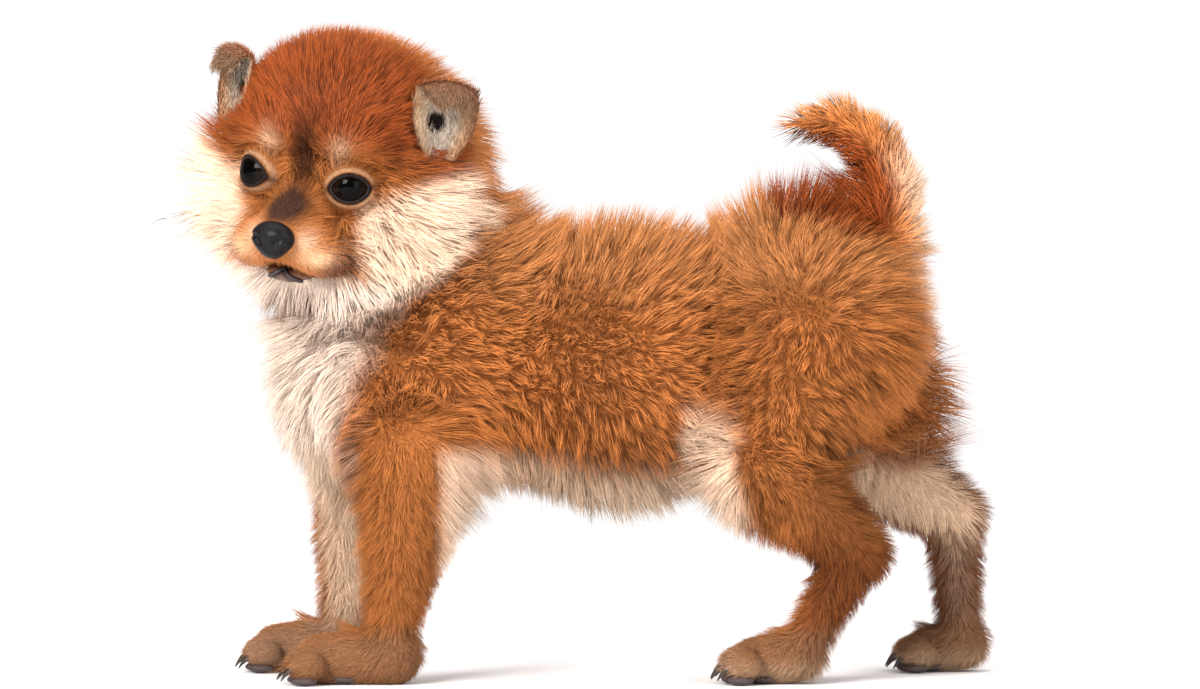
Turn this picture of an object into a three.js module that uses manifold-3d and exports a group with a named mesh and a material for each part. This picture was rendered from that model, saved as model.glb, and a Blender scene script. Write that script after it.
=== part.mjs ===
// A seven-week-old shiba inu puppy, life size, standing side on with its head turned to its left
// and its tail curled forward over its rump. Millimetres, +Z up, the puppy faces -X, its left is -Y.
//
// The body is one smooth field: balls and limbs joined by a rounded union. Each node is that field
// meshed on a grid of its own and parted from its neighbours by thin cuts.
import * as THREE from "three";
import { mergeVertices } from "three/addons/utils/BufferGeometryUtils.js";
import Module from "manifold-3d";

const wasm = await Module();
wasm.setup();

// Driving dimensions
const GAP = 0.34; // between touching nodes
const WITHERS = 186; // floor to the coat over the shoulders
const CHEST_WIDTH = 104;
const LEG_SPREAD = 35; // from the middle plane to each leg
const HEAD_WIDTH = 117; // over the cheek fur
const EYE_RADIUS = 9;
const EYE_SPREAD = 18.7; // from the middle of the face to each eye
const FAR_FORELEG_LEAD = 22; // the right foreleg stands this far ahead of the left one
const SOLE = 0; // height of the floor

// Head pose: turned from side on towards its left, tipped down and tilted over
const HEAD_AT = [-103, -14, 210];
const HEAD_YAW = THREE.MathUtils.degToRad(22); // 0 faces straight along -Y
const HEAD_PITCH = THREE.MathUtils.degToRad(8);
const HEAD_ROLL = THREE.MathUtils.degToRad(10);

// How far the coat's tips stand off the skin. Where locks are built, the core that they grow from
// reaches less than half way from the skin to those tips.
const COAT = { trunk: 13, neck: 15, crown: 8, cheek: 13, face: 3, thigh: 12, leg: 6, foot: 3, tail: 9 };
const CORE_SHARE = 0.54; // share of the coat's depth that is left to the locks

// Colours
const RED = 0xb4682f;
const CREAM = 0xe6cfb4;
const DARK = 0x15110f;
const EYE_BROWN = 0x1a0f0a;

const vector = (p) => new THREE.Vector3(...p);

// Head frame: side is the puppy's left, front is out of the nose, up is out of the crown
const HEAD_AXES = (() => {
  const front = vector([
    -Math.sin(HEAD_YAW) * Math.cos(HEAD_PITCH),
    -Math.cos(HEAD_YAW) * Math.cos(HEAD_PITCH),
    -Math.sin(HEAD_PITCH),
  ]);
  const level = vector([Math.cos(HEAD_YAW), -Math.sin(HEAD_YAW), 0]);
  const upright = new THREE.Vector3().crossVectors(front, level);
  const up = upright.clone().multiplyScalar(Math.cos(HEAD_ROLL)).addScaledVector(level, Math.sin(HEAD_ROLL));
  const side = level.clone().multiplyScalar(Math.cos(HEAD_ROLL)).addScaledVector(upright, -Math.sin(HEAD_ROLL));
  return { side, front, up };
})();

const headDirection = ([side, front, up]) =>
  new THREE.Vector3()
    .addScaledVector(HEAD_AXES.side, side)
    .addScaledVector(HEAD_AXES.front, front)
    .addScaledVector(HEAD_AXES.up, up);
const headPoint = (local) => headDirection(local).add(vector(HEAD_AT));

// Forms of the field. Each one's distance is negative inside it.
const underLocks = (form) => ({ ...form, distance: (p) => form.distance(p) + CORE_SHARE * form.coat });
function ball(centre, radii, coat, blend, frame = null) {
  const middle = frame ? headPoint(centre) : vector(centre);
  const axes = frame ?? { side: vector([1, 0, 0]), front: vector([0, 1, 0]), up: vector([0, 0, 1]) };
  const offset = new THREE.Vector3();
  return {
    coat,
    blend,
    distance(p) {
      offset.subVectors(p, middle);
      const x = offset.dot(axes.side) / radii[0];
      const y = offset.dot(axes.front) / radii[1];
      const z = offset.dot(axes.up) / radii[2];
      const reach = Math.hypot(x, y, z);
      const slope = Math.hypot(x / radii[0], y / radii[1], z / radii[2]);
      return reach < 1e-9 ? -Math.min(...radii) : (reach * (reach - 1)) / slope;
    },
  };
}

function limb(from, to, fromRadius, toRadius, coat, blend, frame = null) {
  const start = frame ? headPoint(from) : vector(from);
  const run = (frame ? headPoint(to) : vector(to)).sub(start);
  const offset = new THREE.Vector3();
  return {
    coat,
    blend,
    distance(p) {
      offset.subVectors(p, start);
      const along = THREE.MathUtils.clamp(offset.dot(run) / run.lengthSq(), 0, 1);
      return offset.addScaledVector(run, -along).length() - THREE.MathUtils.lerp(fromRadius, toRadius, along);
    },
  };
}

const bothSides = (make) => [-1, 1].flatMap((side) => make(side));

const halfChest = CHEST_WIDTH / 2;
const TRUNK_FORMS = [
  ball([-58, 0, 128], [70, halfChest - 2, 58], COAT.trunk, 1), // ribcage
  underLocks(ball([-91, 0, 119], [47, 44, 49], COAT.trunk, 14)), // breast
  ball([8, 0, WITHERS - 61], [74, halfChest, 61], COAT.trunk, 12), // belly and loin
  ball([84, 0, 144], [53, 47, 56], COAT.trunk, 14), // croup
  limb([-58, 0, 150], [-88, -6, 186], 47, 42, COAT.neck, 16), // neck
];

// Legs, from the shoulder or hip to the foot. side is -1 for the left leg, which is nearer the camera.
const FORELEGS = { left: { side: -1, lead: 0 }, right: { side: 1, lead: FAR_FORELEG_LEAD } };
const HINDLEGS = {
  left: { side: -1, hip: [84, 25, 136], knee: [66, 35, 84], hock: [101, 34, 52], foot: [78, 33, 12] },
  right: { side: 1, hip: [90, 24, 138], knee: [101, 34, 90], hock: [144, 34, 64], foot: [147, 34, 12] },
};
const placed = (side, [x, y, z]) => [x, side * y, z];

const TOE_RADIUS = 6.6;
const TOES = [-1.5, -0.5, 0.5, 1.5]; // in toe widths across the foot
const toeCentre = (toe, { side, at, width, length }) => [
  at[0] - length + TOE_RADIUS + 2.2 * Math.abs(toe) - 1.5,
  side * at[1] + (toe * width) / 3.6,
  SOLE + TOE_RADIUS + 1.6,
];

function footForms(foot) {
  const { side, at, width, length } = foot;
  return [
    limb(
      [at[0] + 2, side * at[1], 11],
      [at[0] - length + 13, side * at[1], 9],
      width / 2 - 2,
      width / 2 - 4,
      COAT.foot,
      6,
    ),
    ...TOES.map((toe) => ball(toeCentre(toe, foot), [9, TOE_RADIUS, TOE_RADIUS + 1], COAT.foot, 2.5)),
  ];
}

const feet = {
  fore_left: { side: -1, at: [-84, LEG_SPREAD, 0], width: 32, length: 38 },
  fore_right: { side: 1, at: [-84 - FAR_FORELEG_LEAD, LEG_SPREAD, 0], width: 32, length: 38 },
  hind_left: { side: -1, at: [75, 33, 0], width: 30, length: 27 },
  hind_right: { side: 1, at: [145, 34, 0], width: 30, length: 24 },
};

const FORELEG_FORMS = Object.values(FORELEGS).flatMap(({ side, lead }) => [
  ball(placed(side, [-74 - lead / 2, 30, 108]), [34, 23, 42], COAT.trunk, 16), // shoulder
  limb(placed(side, [-74 - lead, 34, 92]), placed(side, [-77 - lead, LEG_SPREAD, 54]), 27, 20, COAT.leg, 12),
  limb(placed(side, [-77 - lead, LEG_SPREAD, 54]), placed(side, [-82 - lead, LEG_SPREAD, 20]), 20, 15, COAT.leg, 4),
]);

const HINDLEG_FORMS = Object.values(HINDLEGS).flatMap(({ side, hip, knee, hock, foot }) => [
  limb(placed(side, hip), placed(side, knee), 42, 27, COAT.thigh, 14),
  limb(placed(side, knee), placed(side, hock), 27, 17, COAT.leg, 6),
  limb(placed(side, hock), placed(side, foot), 15.5, 13, COAT.leg, 5),
]);

// The tail rises from the croup and curls forward. Its core is the inner half of the brush.
const TAIL_POINTS = [
  [106, 0, 158],
  [116, -1, 178],
  [116, -2, 197],
  [108, -4, 213],
  [95, -5, 222],
  [80, -6, 221],
];
const TAIL_RADII = [17, 15.5, 14.5, 13.5, 11.5, 8];
const tailCurve = new THREE.CatmullRomCurve3(TAIL_POINTS.map(vector));
const TAIL_FORMS = TAIL_POINTS.slice(1).map((to, i) =>
  underLocks(limb(TAIL_POINTS[i], to, TAIL_RADII[i], TAIL_RADII[i + 1], COAT.tail, i ? 3 : 8)),
);

const halfHead = HEAD_WIDTH / 2;
const EYES = { left: 1, right: -1 }; // sign of the head frame's side axis
const EYE_FRONT = 29.5;
const EYE_UP = -7.5;
const HEAD_FORMS = [
  ball([0, -6, 9], [49, 46, 40], COAT.crown, 12, HEAD_AXES), // cranium
  underLocks(ball([-87, 0, 207], [49, 49, 48], COAT.neck, 10)), // nape
  ...bothSides((s) => [
    underLocks(ball([s * (halfHead - 30), 0, -16], [33, 29, 37], COAT.cheek, 12, HEAD_AXES)), // cheek
    ball([s * 17, 24, 6], [15, 13, 12], COAT.face, 10, HEAD_AXES), // brow
    ball([s * 21, 25, -20], [14, 11, 12], COAT.face, 8, HEAD_AXES), // cheekbone
    ball([s * 11.5, 39, -35], [12, 13, 11], COAT.face, 6, HEAD_AXES), // upper lip
  ]),
  underLocks(ball([0, 6, -40], [42, 34, 32], COAT.cheek, 14, HEAD_AXES)), // bib under the jaw
  limb([0, 24, -20], [0, 47, -29], 18, 11, COAT.face, 9, HEAD_AXES), // bridge of the muzzle
  ball([0, 34, -45], [14, 13, 7], COAT.face, 4, HEAD_AXES), // lower jaw
];

const FORMS = [
  ...TRUNK_FORMS,
  ...FORELEG_FORMS,
  ...HINDLEG_FORMS,
  ...TAIL_FORMS,
  ...HEAD_FORMS,
  ...Object.values(feet).flatMap(footForms),
];

const smoothMin = (a, b, k) => {
  const overlap = Math.max(k - Math.abs(a - b), 0) / k;
  return Math.min(a, b) - (overlap * overlap * k) / 4;
};

// Distance to the body's outer surface: the tips of the short coat, and the core where locks grow
function bodyField(p) {
  let distance = 1e3;
  for (const form of FORMS) distance = smoothMin(distance, form.distance(p), form.blend);
  return distance;
}

const SLOPE_STEP = 0.4;
function slopeOf(field, p) {
  const slope = new THREE.Vector3();
  for (const axis of ["x", "y", "z"]) {
    const ahead = p.clone();
    const behind = p.clone();
    ahead[axis] += SLOPE_STEP;
    behind[axis] -= SLOPE_STEP;
    slope[axis] = (field(ahead) - field(behind)) / (2 * SLOPE_STEP);
  }
  return slope;
}

// Meshes a field's zero surface on a grid whose lines are given along each axis: one vertex for each
// cell that the surface crosses, and one quad for each grid edge that it crosses. The outermost grid
// points count as outside, which closes the mesh. place maps a grid point to the part's own frame.
function surfaceNet(field, xs, ys, zs, place = vector) {
  const counts = [xs.length, ys.length, zs.length];
  const lines = [xs, ys, zs];
  const index = (i, j, k) => (i * counts[1] + j) * counts[2] + k;
  const values = new Float64Array(counts[0] * counts[1] * counts[2]);
  const onRim = (at) => at.some((n, axis) => n === 0 || n === counts[axis] - 1);
  for (let i = 0; i < counts[0]; i++)
    for (let j = 0; j < counts[1]; j++)
      for (let k = 0; k < counts[2]; k++) {
        const value = field(place([xs[i], ys[j], zs[k]]));
        values[index(i, j, k)] = onRim([i, j, k]) ? Math.max(value, 1) : value || 1e-6;
      }

  const corners = [0, 1, 2, 3, 4, 5, 6, 7].map((c) => [c & 1, (c >> 1) & 1, c >> 2]);
  const edges = corners.flatMap((a, i) =>
    corners.flatMap((b, j) => (j > i && a.filter((v, n) => v !== b[n]).length === 1 ? [[a, b]] : [])),
  );
  const positions = [];
  const vertexOf = new Map();
  for (let i = 0; i < counts[0] - 1; i++)
    for (let j = 0; j < counts[1] - 1; j++)
      for (let k = 0; k < counts[2] - 1; k++) {
        const sum = [0, 0, 0];
        let crossings = 0;
        for (const [a, b] of edges) {
          const va = values[index(i + a[0], j + a[1], k + a[2])];
          const vb = values[index(i + b[0], j + b[1], k + b[2])];
          if (va < 0 === vb < 0) continue;
          const share = va / (va - vb);
          [i, j, k].forEach((n, axis) => {
            const low = lines[axis][n + a[axis]];
            sum[axis] += low + share * (lines[axis][n + b[axis]] - low);
          });
          crossings++;
        }
        if (!crossings) continue;
        const p = place(sum.map((v) => v / crossings));
        for (let pass = 0; pass < 2 && !onRim([i, j, k]) && !onRim([i + 1, j + 1, k + 1]); pass++) {
          const slope = slopeOf(field, p);
          p.addScaledVector(slope, -THREE.MathUtils.clamp(field(p), -1.5, 1.5) / Math.max(slope.lengthSq(), 0.2));
        }
        vertexOf.set(index(i, j, k), positions.length / 3);
        positions.push(p.x, p.y, p.z);
      }

  const triangles = [];
  const corner = (n) => new THREE.Vector3().fromArray(positions, 3 * n);
  function quad(cells, flip) {
    const [a, b, c, d] = cells.map((cell) => vertexOf.get(index(...cell)));
    const short = corner(a).distanceTo(corner(c)) <= corner(b).distanceTo(corner(d));
    const pair = short ? [[a, b, c], [a, c, d]] : [[a, b, d], [b, c, d]];
    for (const [p, q, r] of pair) triangles.push(...(flip ? [p, r, q] : [p, q, r]));
  }
  for (let i = 0; i < counts[0] - 1; i++)
    for (let j = 0; j < counts[1] - 1; j++)
      for (let k = 0; k < counts[2] - 1; k++)
        for (const axis of [0, 1, 2]) {
          const [b, c] = [(axis + 1) % 3, (axis + 2) % 3];
          const at = [i, j, k];
          if (at[b] === 0 || at[c] === 0) continue;
          const step = (...axes) => at.map((n, m) => n - (axes.includes(m) ? 1 : 0));
          const next = at.map((n, m) => n + (m === axis ? 1 : 0));
          const here = values[index(...at)] < 0;
          if (here !== values[index(...next)] < 0) quad([step(b, c), step(c), at, step(b)], !here);
        }
  return solid(new THREE.BufferGeometry()
    .setAttribute("position", new THREE.Float32BufferAttribute(positions, 3))
    .setIndex(triangles));
}

// Grid lines from low to high with a step that may change along the way: steps is [[upTo, step], ...]
function gridLines(low, steps) {
  const lines = [low];
  for (const [upTo, step] of steps) {
    const start = lines.at(-1);
    const count = Math.max(1, Math.round((upTo - start) / step));
    for (let n = 1; n <= count; n++) lines.push(start + ((upTo - start) * n) / count);
  }
  return lines;
}

// three.js geometry to a manifold-3d solid and back
function solid(geometry, weld = 1e-4) {
  const bare = geometry.clone();
  bare.deleteAttribute("normal");
  bare.deleteAttribute("uv");
  const merged = mergeVertices(bare, weld);
  return new wasm.Manifold(
    new wasm.Mesh({
      numProp: 3,
      vertProperties: merged.attributes.position.array,
      triVerts: new Uint32Array(merged.index.array),
    }),
  );
}

function geometryOf(made) {
  const { vertProperties, numProp, triVerts, numVert } = made.getMesh();
  const positions = new Float32Array(numVert * 3);
  for (let i = 0; i < numVert; i++) positions.set(vertProperties.subarray(i * numProp, i * numProp + 3), 3 * i);
  return new THREE.BufferGeometry()
    .setAttribute("position", new THREE.BufferAttribute(positions, 3))
    .setIndex(new THREE.BufferAttribute(triVerts, 1))
    .toNonIndexed();
}

const largest = (made) => made.decompose().reduce((a, b) => (b.volume() > a.volume() ? b : a));

// A cut plane through point, keeping the side that normal points to, moved back by half the gap
const keepBeyond = (made, point, normal) => {
  const n = normal.clone().normalize();
  return made.trimByPlane([n.x, n.y, n.z], n.dot(point) + GAP / 2);
};

// A prism across the body from x0 to x1 that holds a leg. The seam runs from the groin up to the
// outer end, each a [distance from the middle plane, height].
function legRegion(side, x0, x1, groin, outer, grow) {
  const reach = 120;
  const outline = new THREE.Shape([
    new THREE.Vector2(groin[0], -reach),
    new THREE.Vector2(reach, -reach),
    new THREE.Vector2(reach, outer[1]),
    new THREE.Vector2(outer[0], outer[1]),
    new THREE.Vector2(groin[0], groin[1]),
  ]);
  const slab = new THREE.ExtrudeGeometry(outline, { depth: x1 - x0 + 2 * grow, bevelEnabled: false });
  // The shape's own x, y and depth become the part's y, z and x
  const upright = new THREE.Matrix4().set(0, 0, 1, x0 - grow, 1, 0, 0, -grow, 0, 1, 0, grow, 0, 0, 0, 1);
  slab.applyMatrix4(upright);
  return side > 0 ? solid(slab) : solid(slab).mirror([0, 1, 0]);
}

const LEG_REGIONS = {
  fore_left: [-1, -116, -42, [3, 66], [62, 128]],
  fore_right: [1, -138, -58, [3, 66], [62, 128]],
  hind_left: [-1, 22, 134, [3, 76], [62, 172]],
  hind_right: [1, 46, 172, [3, 76], [62, 172]],
};

// Seams. The neck's lower seam runs from the withers to the throat, and its upper one crosses the nape.
const NECK_SEAM = { point: vector([-80, 0, 158]), normal: vector([-0.55, 0, 0.835]) };
const HEAD_SEAM = { point: headPoint([0, -20, -25]), normal: headDirection([0, 0.85, 0.53]) };
const TAIL_BEND = 0.52; // share of the tail's length where its two nodes meet
const opposite = ({ point, normal }) => ({ point, normal: normal.clone().negate() });
const keep = (made, { point, normal }) => keepBeyond(made, point, normal);

const materials = {
  red: new THREE.MeshStandardMaterial({ color: RED, roughness: 0.85, metalness: 0 }),
  cream: new THREE.MeshStandardMaterial({ color: CREAM, roughness: 0.85, metalness: 0 }),
  dark: new THREE.MeshStandardMaterial({ color: DARK, roughness: 0.4, metalness: 0 }),
  eye: new THREE.MeshStandardMaterial({ color: EYE_BROWN, roughness: 0.08, metalness: 0 }),
};

const puppy = new THREE.Group();
// Where two folds of the surface touch along one edge, the faces of one are split at its middle, so
// that no edge has more than two faces
function partFolds(geometry) {
  const merged = mergeVertices(geometry, 1e-4);
  const positions = [...merged.attributes.position.array];
  const index = [...merged.index.array];
  const owners = new Map();
  for (let n = 0; n < index.length; n++) {
    const next = n % 3 === 2 ? n - 2 : n + 1;
    const key = `${index[n]} ${index[next]}`;
    owners.set(key, [...(owners.get(key) ?? []), n]);
  }
  for (const [key, forward] of owners) {
    const [a, b] = key.split(" ").map(Number);
    if (forward.length < 2 || a > b) continue;
    const middle = positions.length / 3;
    for (const axis of [0, 1, 2]) positions.push((positions[3 * a + axis] + positions[3 * b + axis]) / 2);
    for (const corner of [forward[0], owners.get(`${b} ${a}`)[0]]) {
      const first = corner - (corner % 3);
      const next = first + ((corner + 1) % 3);
      const third = index[first + ((corner + 2) % 3)];
      index.push(middle, index[next], third);
      index[next] = middle;
    }
  }
  return new THREE.BufferGeometry()
    .setAttribute("position", new THREE.Float32BufferAttribute(positions, 3))
    .setIndex(index);
}

const WELD = 1e-3;
function addNode(name, made, material) {
  const welded = largest(solid(geometryOf(largest(made)), WELD));
  const mesh = new THREE.Mesh(partFolds(geometryOf(welded)).toNonIndexed(), material);
  mesh.name = name;
  puppy.add(mesh);
}

// The tail's region in the side view, over a seam across its root
const TAIL_OUTLINE = [[30, 208], [93, 204], [140, 154], [220, 154], [220, 320], [30, 320]];
function tailRegion(rise) {
  const outline = new THREE.Shape(TAIL_OUTLINE.map(([x, z]) => new THREE.Vector2(x, z + rise)));
  const slab = new THREE.ExtrudeGeometry(outline, { depth: 120, bevelEnabled: false });
  return solid(slab.rotateX(Math.PI / 2).translate(0, 60, 0));
}

// Locks of the long coat: flat, tapered and bent along the lie, with their roots sunk in the core.
// Random choices come from one seeded series.
let seed = 7;
function random(low, high) {
  seed = (seed * 16807) % 2147483647;
  return THREE.MathUtils.lerp(low, high, seed / 2147483647);
}

const LOCK = { width: 6.5, thick: 3, sink: 2.6 };
const LOCK_RINGS = [[0, 1, 1], [0.34, 1, 0.85], [0.68, 0.62, 0.5]]; // share of length, width and thickness
function lockAt(root, normal, lie, length, lift, width = LOCK.width) {
  const along = lie.clone().addScaledVector(normal, -lie.dot(normal)).normalize();
  const across = new THREE.Vector3().crossVectors(normal, along);
  along.addScaledVector(across, random(-0.25, 0.25)).normalize();
  across.crossVectors(normal, along);
  const at = (share) =>
    root.clone()
      .addScaledVector(normal, -LOCK.sink + (lift + LOCK.sink) * Math.sin(1.9 * share) / Math.sin(1.9))
      .addScaledVector(along, length * share);
  const positions = [];
  for (const [share, wide, thick] of LOCK_RINGS)
    for (const [a, b] of [[1, 0], [0, 1], [-1, 0], [0, -1]]) {
      const corner = at(share)
        .addScaledVector(across, (a * wide * width) / 2)
        .addScaledVector(normal, (b * thick * LOCK.thick) / 2);
      positions.push(...corner);
    }
  positions.push(...at(1));
  const index = [0, 2, 1, 0, 3, 2];
  for (const ring of [0, 4])
    for (const n of [0, 1, 2, 3]) {
      const [a, b] = [ring + n, ring + ((n + 1) % 4)];
      index.push(a, b, a + 4, b, b + 4, a + 4);
    }
  for (const n of [0, 1, 2, 3]) index.push(8 + n, 8 + ((n + 1) % 4), 12);
  return solid(new THREE.BufferGeometry()
    .setAttribute("position", new THREE.Float32BufferAttribute(positions, 3))
    .setIndex(index));
}

// Where a ray from a point outside first meets the core, and the slope there
function coreHit(from, way) {
  const at = from.clone();
  for (let pass = 0; pass < 80; pass++) {
    const distance = bodyField(at);
    if (distance < 0.05) break;
    at.addScaledVector(way, 0.7 * distance);
  }
  return { at, normal: slopeOf(bodyField, at).normalize() };
}

// One lock on the core, found along the ray that leaves a middle point in some direction
function lockToward(middle, direction, lie, length, lift, width) {
  const way = direction.clone().normalize();
  const { at, normal } = coreHit(middle.clone().addScaledVector(way, 110), way.clone().negate());
  return lockAt(at, normal, lie, length * random(0.85, 1.2), lift * random(0.8, 1.15), width);
}

const meshBody = (x, y, z) => surfaceNet(bodyField, gridLines(...x), gridLines(...y), gridLines(...z));
const between = (made, low, high) =>
  keepBeyond(keepBeyond(made, vector([0, 0, low]), vector([0, 0, 1])), vector([0, 0, high]), vector([0, 0, -1]));

// The body a little swollen: what is left of it outside a node's own region is cut from its locks
const GUARD = 1.2;
const bodyGuard = surfaceNet(
  (p) => bodyField(p) - GUARD,
  gridLines(-184, [[184, 11]]),
  gridLines(-76, [[76, 10]]),
  gridLines(-8, [[272, 10.5]]),
);
const clearOf = (locks, guard) => wasm.Manifold.union(locks).subtract(guard);

// Torso, with locks down the breast and along the belly
const BREAST_ROWS = [[0.5, 4, 0.7], [0.15, 5, 1.1], [-0.2, 5, 1.1], [-0.55, 4, 0.9]]; // tilt, count, half spread
function breastLocks() {
  return BREAST_ROWS.flatMap(([tilt, count, spread]) =>
    Array.from({ length: count }, (_, n) => {
      const turn = THREE.MathUtils.lerp(-spread, spread, (n + random(-0.2, 0.2)) / (count - 1));
      const direction = vector([-Math.cos(turn) * Math.cos(tilt), Math.sin(turn) * Math.cos(tilt), Math.sin(tilt)]);
      return lockToward(vector([-78, 0, 118]), direction, vector([-0.1, 0.4 * Math.sin(turn), -1]), 19, 5.5);
    }),
  );
}
const BELLY_FRINGE = { from: -36, to: 16, count: 6, slant: 0.45 };
function bellyLocks() {
  return bothSides((side) =>
    Array.from({ length: BELLY_FRINGE.count }, (_, n) => {
      const x = THREE.MathUtils.lerp(BELLY_FRINGE.from, BELLY_FRINGE.to, n / (BELLY_FRINGE.count - 1));
      return lockToward(vector([x, 0, 118]), vector([0, side * BELLY_FRINGE.slant, -1]), vector([0.8, 0, -0.3]), 17, 5.5);
    }),
  );
}
let torso = meshBody([-150, [[160, 14]]], [-66, [[66, 12.5]]], [48, [[216, 12.5]]]);
const inTorso = (made) =>
  Object.values(LEG_REGIONS).reduce(
    (left, region) => left.subtract(legRegion(...region, GAP / 2)),
    keep(made, opposite(NECK_SEAM)).subtract(tailRegion(-GAP / 2)),
  );
torso = inTorso(torso).add(clearOf([...breastLocks(), ...bellyLocks()], bodyGuard.subtract(inTorso(bodyGuard))));
addNode("torso", torso, materials.red);

// Neck
let neck = meshBody([-160, [[-10, 11]]], [-74, [[74, 11]]], [90, [[256, 11]]]);
neck = keep(keep(neck, NECK_SEAM), opposite(HEAD_SEAM));
addNode("neck", neck, materials.red);

// Tail
const BRUSH_RINGS = 7;
const BRUSH_ROUND = 4;
function brush() {
  return Array.from({ length: BRUSH_RINGS * BRUSH_ROUND }, (_, n) => {
    const ring = Math.floor(n / BRUSH_ROUND);
    const along = 0.16 + (0.84 * (ring + 0.1)) / BRUSH_RINGS;
    const tangent = tailCurve.getTangentAt(along);
    const across = new THREE.Vector3().crossVectors(tangent, vector([0, 1, 0])).normalize();
    const turn = ((n % BRUSH_ROUND) + 0.5 * (ring % 2) + random(-0.1, 0.1)) * ((2 * Math.PI) / BRUSH_ROUND);
    const direction = across.multiplyScalar(Math.cos(turn)).addScaledVector(vector([0, 1, 0]), Math.sin(turn));
    return lockToward(tailCurve.getPointAt(along), direction, tangent, 18, 4.6, 7.5);
  });
}
const inTail = (made) => made.intersect(tailRegion(GAP / 2));
const tailCore = meshBody([50, [[150, 7]]], [-32, [[28, 7]]], [140, [[244, 7]]]);
const tailShape = inTail(tailCore).add(clearOf(brush(), bodyGuard.subtract(inTail(bodyGuard))));
const tailMiddle = tailCurve.getPointAt(TAIL_BEND);
const tailAlong = tailCurve.getTangentAt(TAIL_BEND);
addNode("tail_base", keepBeyond(tailShape, tailMiddle, tailAlong.clone().negate()), materials.red);
addNode("tail_curl", keepBeyond(tailShape, tailMiddle, tailAlong), materials.red);

// Claws: short cones that point forwards and down out of each toe
function claws(foot) {
  return TOES.map((toe) => {
    const [x, y, z] = toeCentre(toe, foot);
    const cone = new THREE.ConeGeometry(1.8, 8, 5).rotateZ(Math.PI / 2 + 0.7);
    return solid(cone.translate(x - 8, y, z - 2.6));
  });
}

// Breeches behind each thigh and the fringe behind each elbow: [middle, low, high, count, length] with
// the middle as [x, distance from the middle plane]
const FRINGES = {
  fore_left: [[-76, 34], 62, 88, 3, 15],
  fore_right: [[-76 - FAR_FORELEG_LEAD, 34], 62, 88, 3, 15],
  hind_left: [[84, 26], 92, 150, 6, 19],
  hind_right: [[96, 27], 96, 150, 6, 20],
};
function fringeLocks(leg) {
  const [[x, y], low, high, count, length] = FRINGES[leg];
  const side = LEG_REGIONS[leg][0];
  return [-0.35, 0.35].flatMap((turn) =>
    Array.from({ length: count }, (_, n) => {
      const z = THREE.MathUtils.lerp(low, high, (n + (turn > 0 ? 0.5 : 0)) / count);
      const out = vector([Math.cos(turn), side * Math.sin(turn), 0]);
      return lockToward(vector([x, side * y, z]), out, vector([0.5, 0, -0.85]), length, 5);
    }),
  );
}

// Legs: each is cut from the body by its region and parted at its joints
const FORE_CUTS = [140, 56, 22];
const HIND_CUTS = { left: [180, 66, 36], right: [180, 76, 46] };
function addLeg(names, leg, cuts) {
  const region = legRegion(...LEG_REGIONS[leg], -GAP / 2);
  const [side, x0, x1] = LEG_REGIONS[leg];
  const width = side < 0 ? [-68, [[-2, 8]]] : [2, [[68, 8]]];
  const [upper, lower, ankle] = cuts;
  const foot = feet[leg];
  const tip = foot.at[0] - foot.length;
  const thigh = meshBody([x0 - 6, [[x1 + 6, 10]]], width, [lower - 8, [[upper, 10]]]);
  const inLeg = (made) => made.intersect(region);
  const fringe = clearOf(fringeLocks(leg), bodyGuard.subtract(inLeg(bodyGuard)));
  addNode(names[0], between(inLeg(thigh).add(fringe), lower, upper), materials.red);
  const shank = meshBody([x0 - 6, [[x1 + 6, 7.5]]], width, [ankle - 6, [[lower + 6, 7.5]]]);
  addNode(names[1], between(shank.intersect(region), ankle, lower), materials.red);
  const across = [side * foot.at[1] - 20, [[side * foot.at[1] + 20, 4.4]]];
  const paw = meshBody([tip - 6, [[tip + 14, 4.2], [foot.at[0] + 26, 8]]], across, [-6, [[18, 4.4], [ankle + 4, 8]]]);
  const clawed = wasm.Manifold.union([between(paw, -50, ankle), ...claws(foot)]);
  addNode(names[2], clawed.trimByPlane([0, 0, 1], SOLE), materials.cream);
}
for (const side of ["left", "right"]) {
  addLeg([`upper_foreleg_${side}`, `forearm_${side}`, `forepaw_${side}`], `fore_${side}`, FORE_CUTS);
  addLeg([`thigh_${side}`, `lower_leg_${side}`, `hind_foot_${side}`], `hind_${side}`, HIND_CUTS[side]);
}

// The skin of the face along a ray in the head's frame: steps inwards until the body is met
function faceHit(local, inwards) {
  const from = headPoint(local);
  const way = headDirection(inwards).normalize();
  for (let pass = 0; pass < 60; pass++) {
    const distance = bodyField(from);
    if (distance < 0.02) break;
    from.addScaledVector(way, 0.8 * distance);
  }
  return from;
}

// A tube with closed ends along a path, radius given per point
function tube(points, radiusAt, sides) {
  const curve = new THREE.CatmullRomCurve3(points);
  const count = 2 * points.length;
  const geometry = new THREE.TubeGeometry(curve, count, 1, sides, false);
  const ring = sides + 1;
  const position = geometry.attributes.position;
  const p = new THREE.Vector3();
  for (let n = 0; n <= count; n++) {
    const middle = curve.getPointAt(n / count);
    for (let m = 0; m < ring; m++) {
      p.fromBufferAttribute(position, n * ring + m).sub(middle);
      p.multiplyScalar(radiusAt(n / count)).add(middle);
      position.setXYZ(n * ring + m, p.x, p.y, p.z);
    }
  }
  const positions = [...position.array];
  const index = [...geometry.index.array];
  for (const [first, end] of [[0, 0], [count * ring, 1]]) {
    const middle = positions.length / 3;
    positions.push(...curve.getPointAt(end));
    for (let m = 0; m < sides; m++)
      index.push(...(end ? [middle, first + m + 1, first + m] : [middle, first + m, first + m + 1]));
  }
  return solid(new THREE.BufferGeometry()
    .setAttribute("position", new THREE.Float32BufferAttribute(positions, 3))
    .setIndex(index));
}

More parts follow.
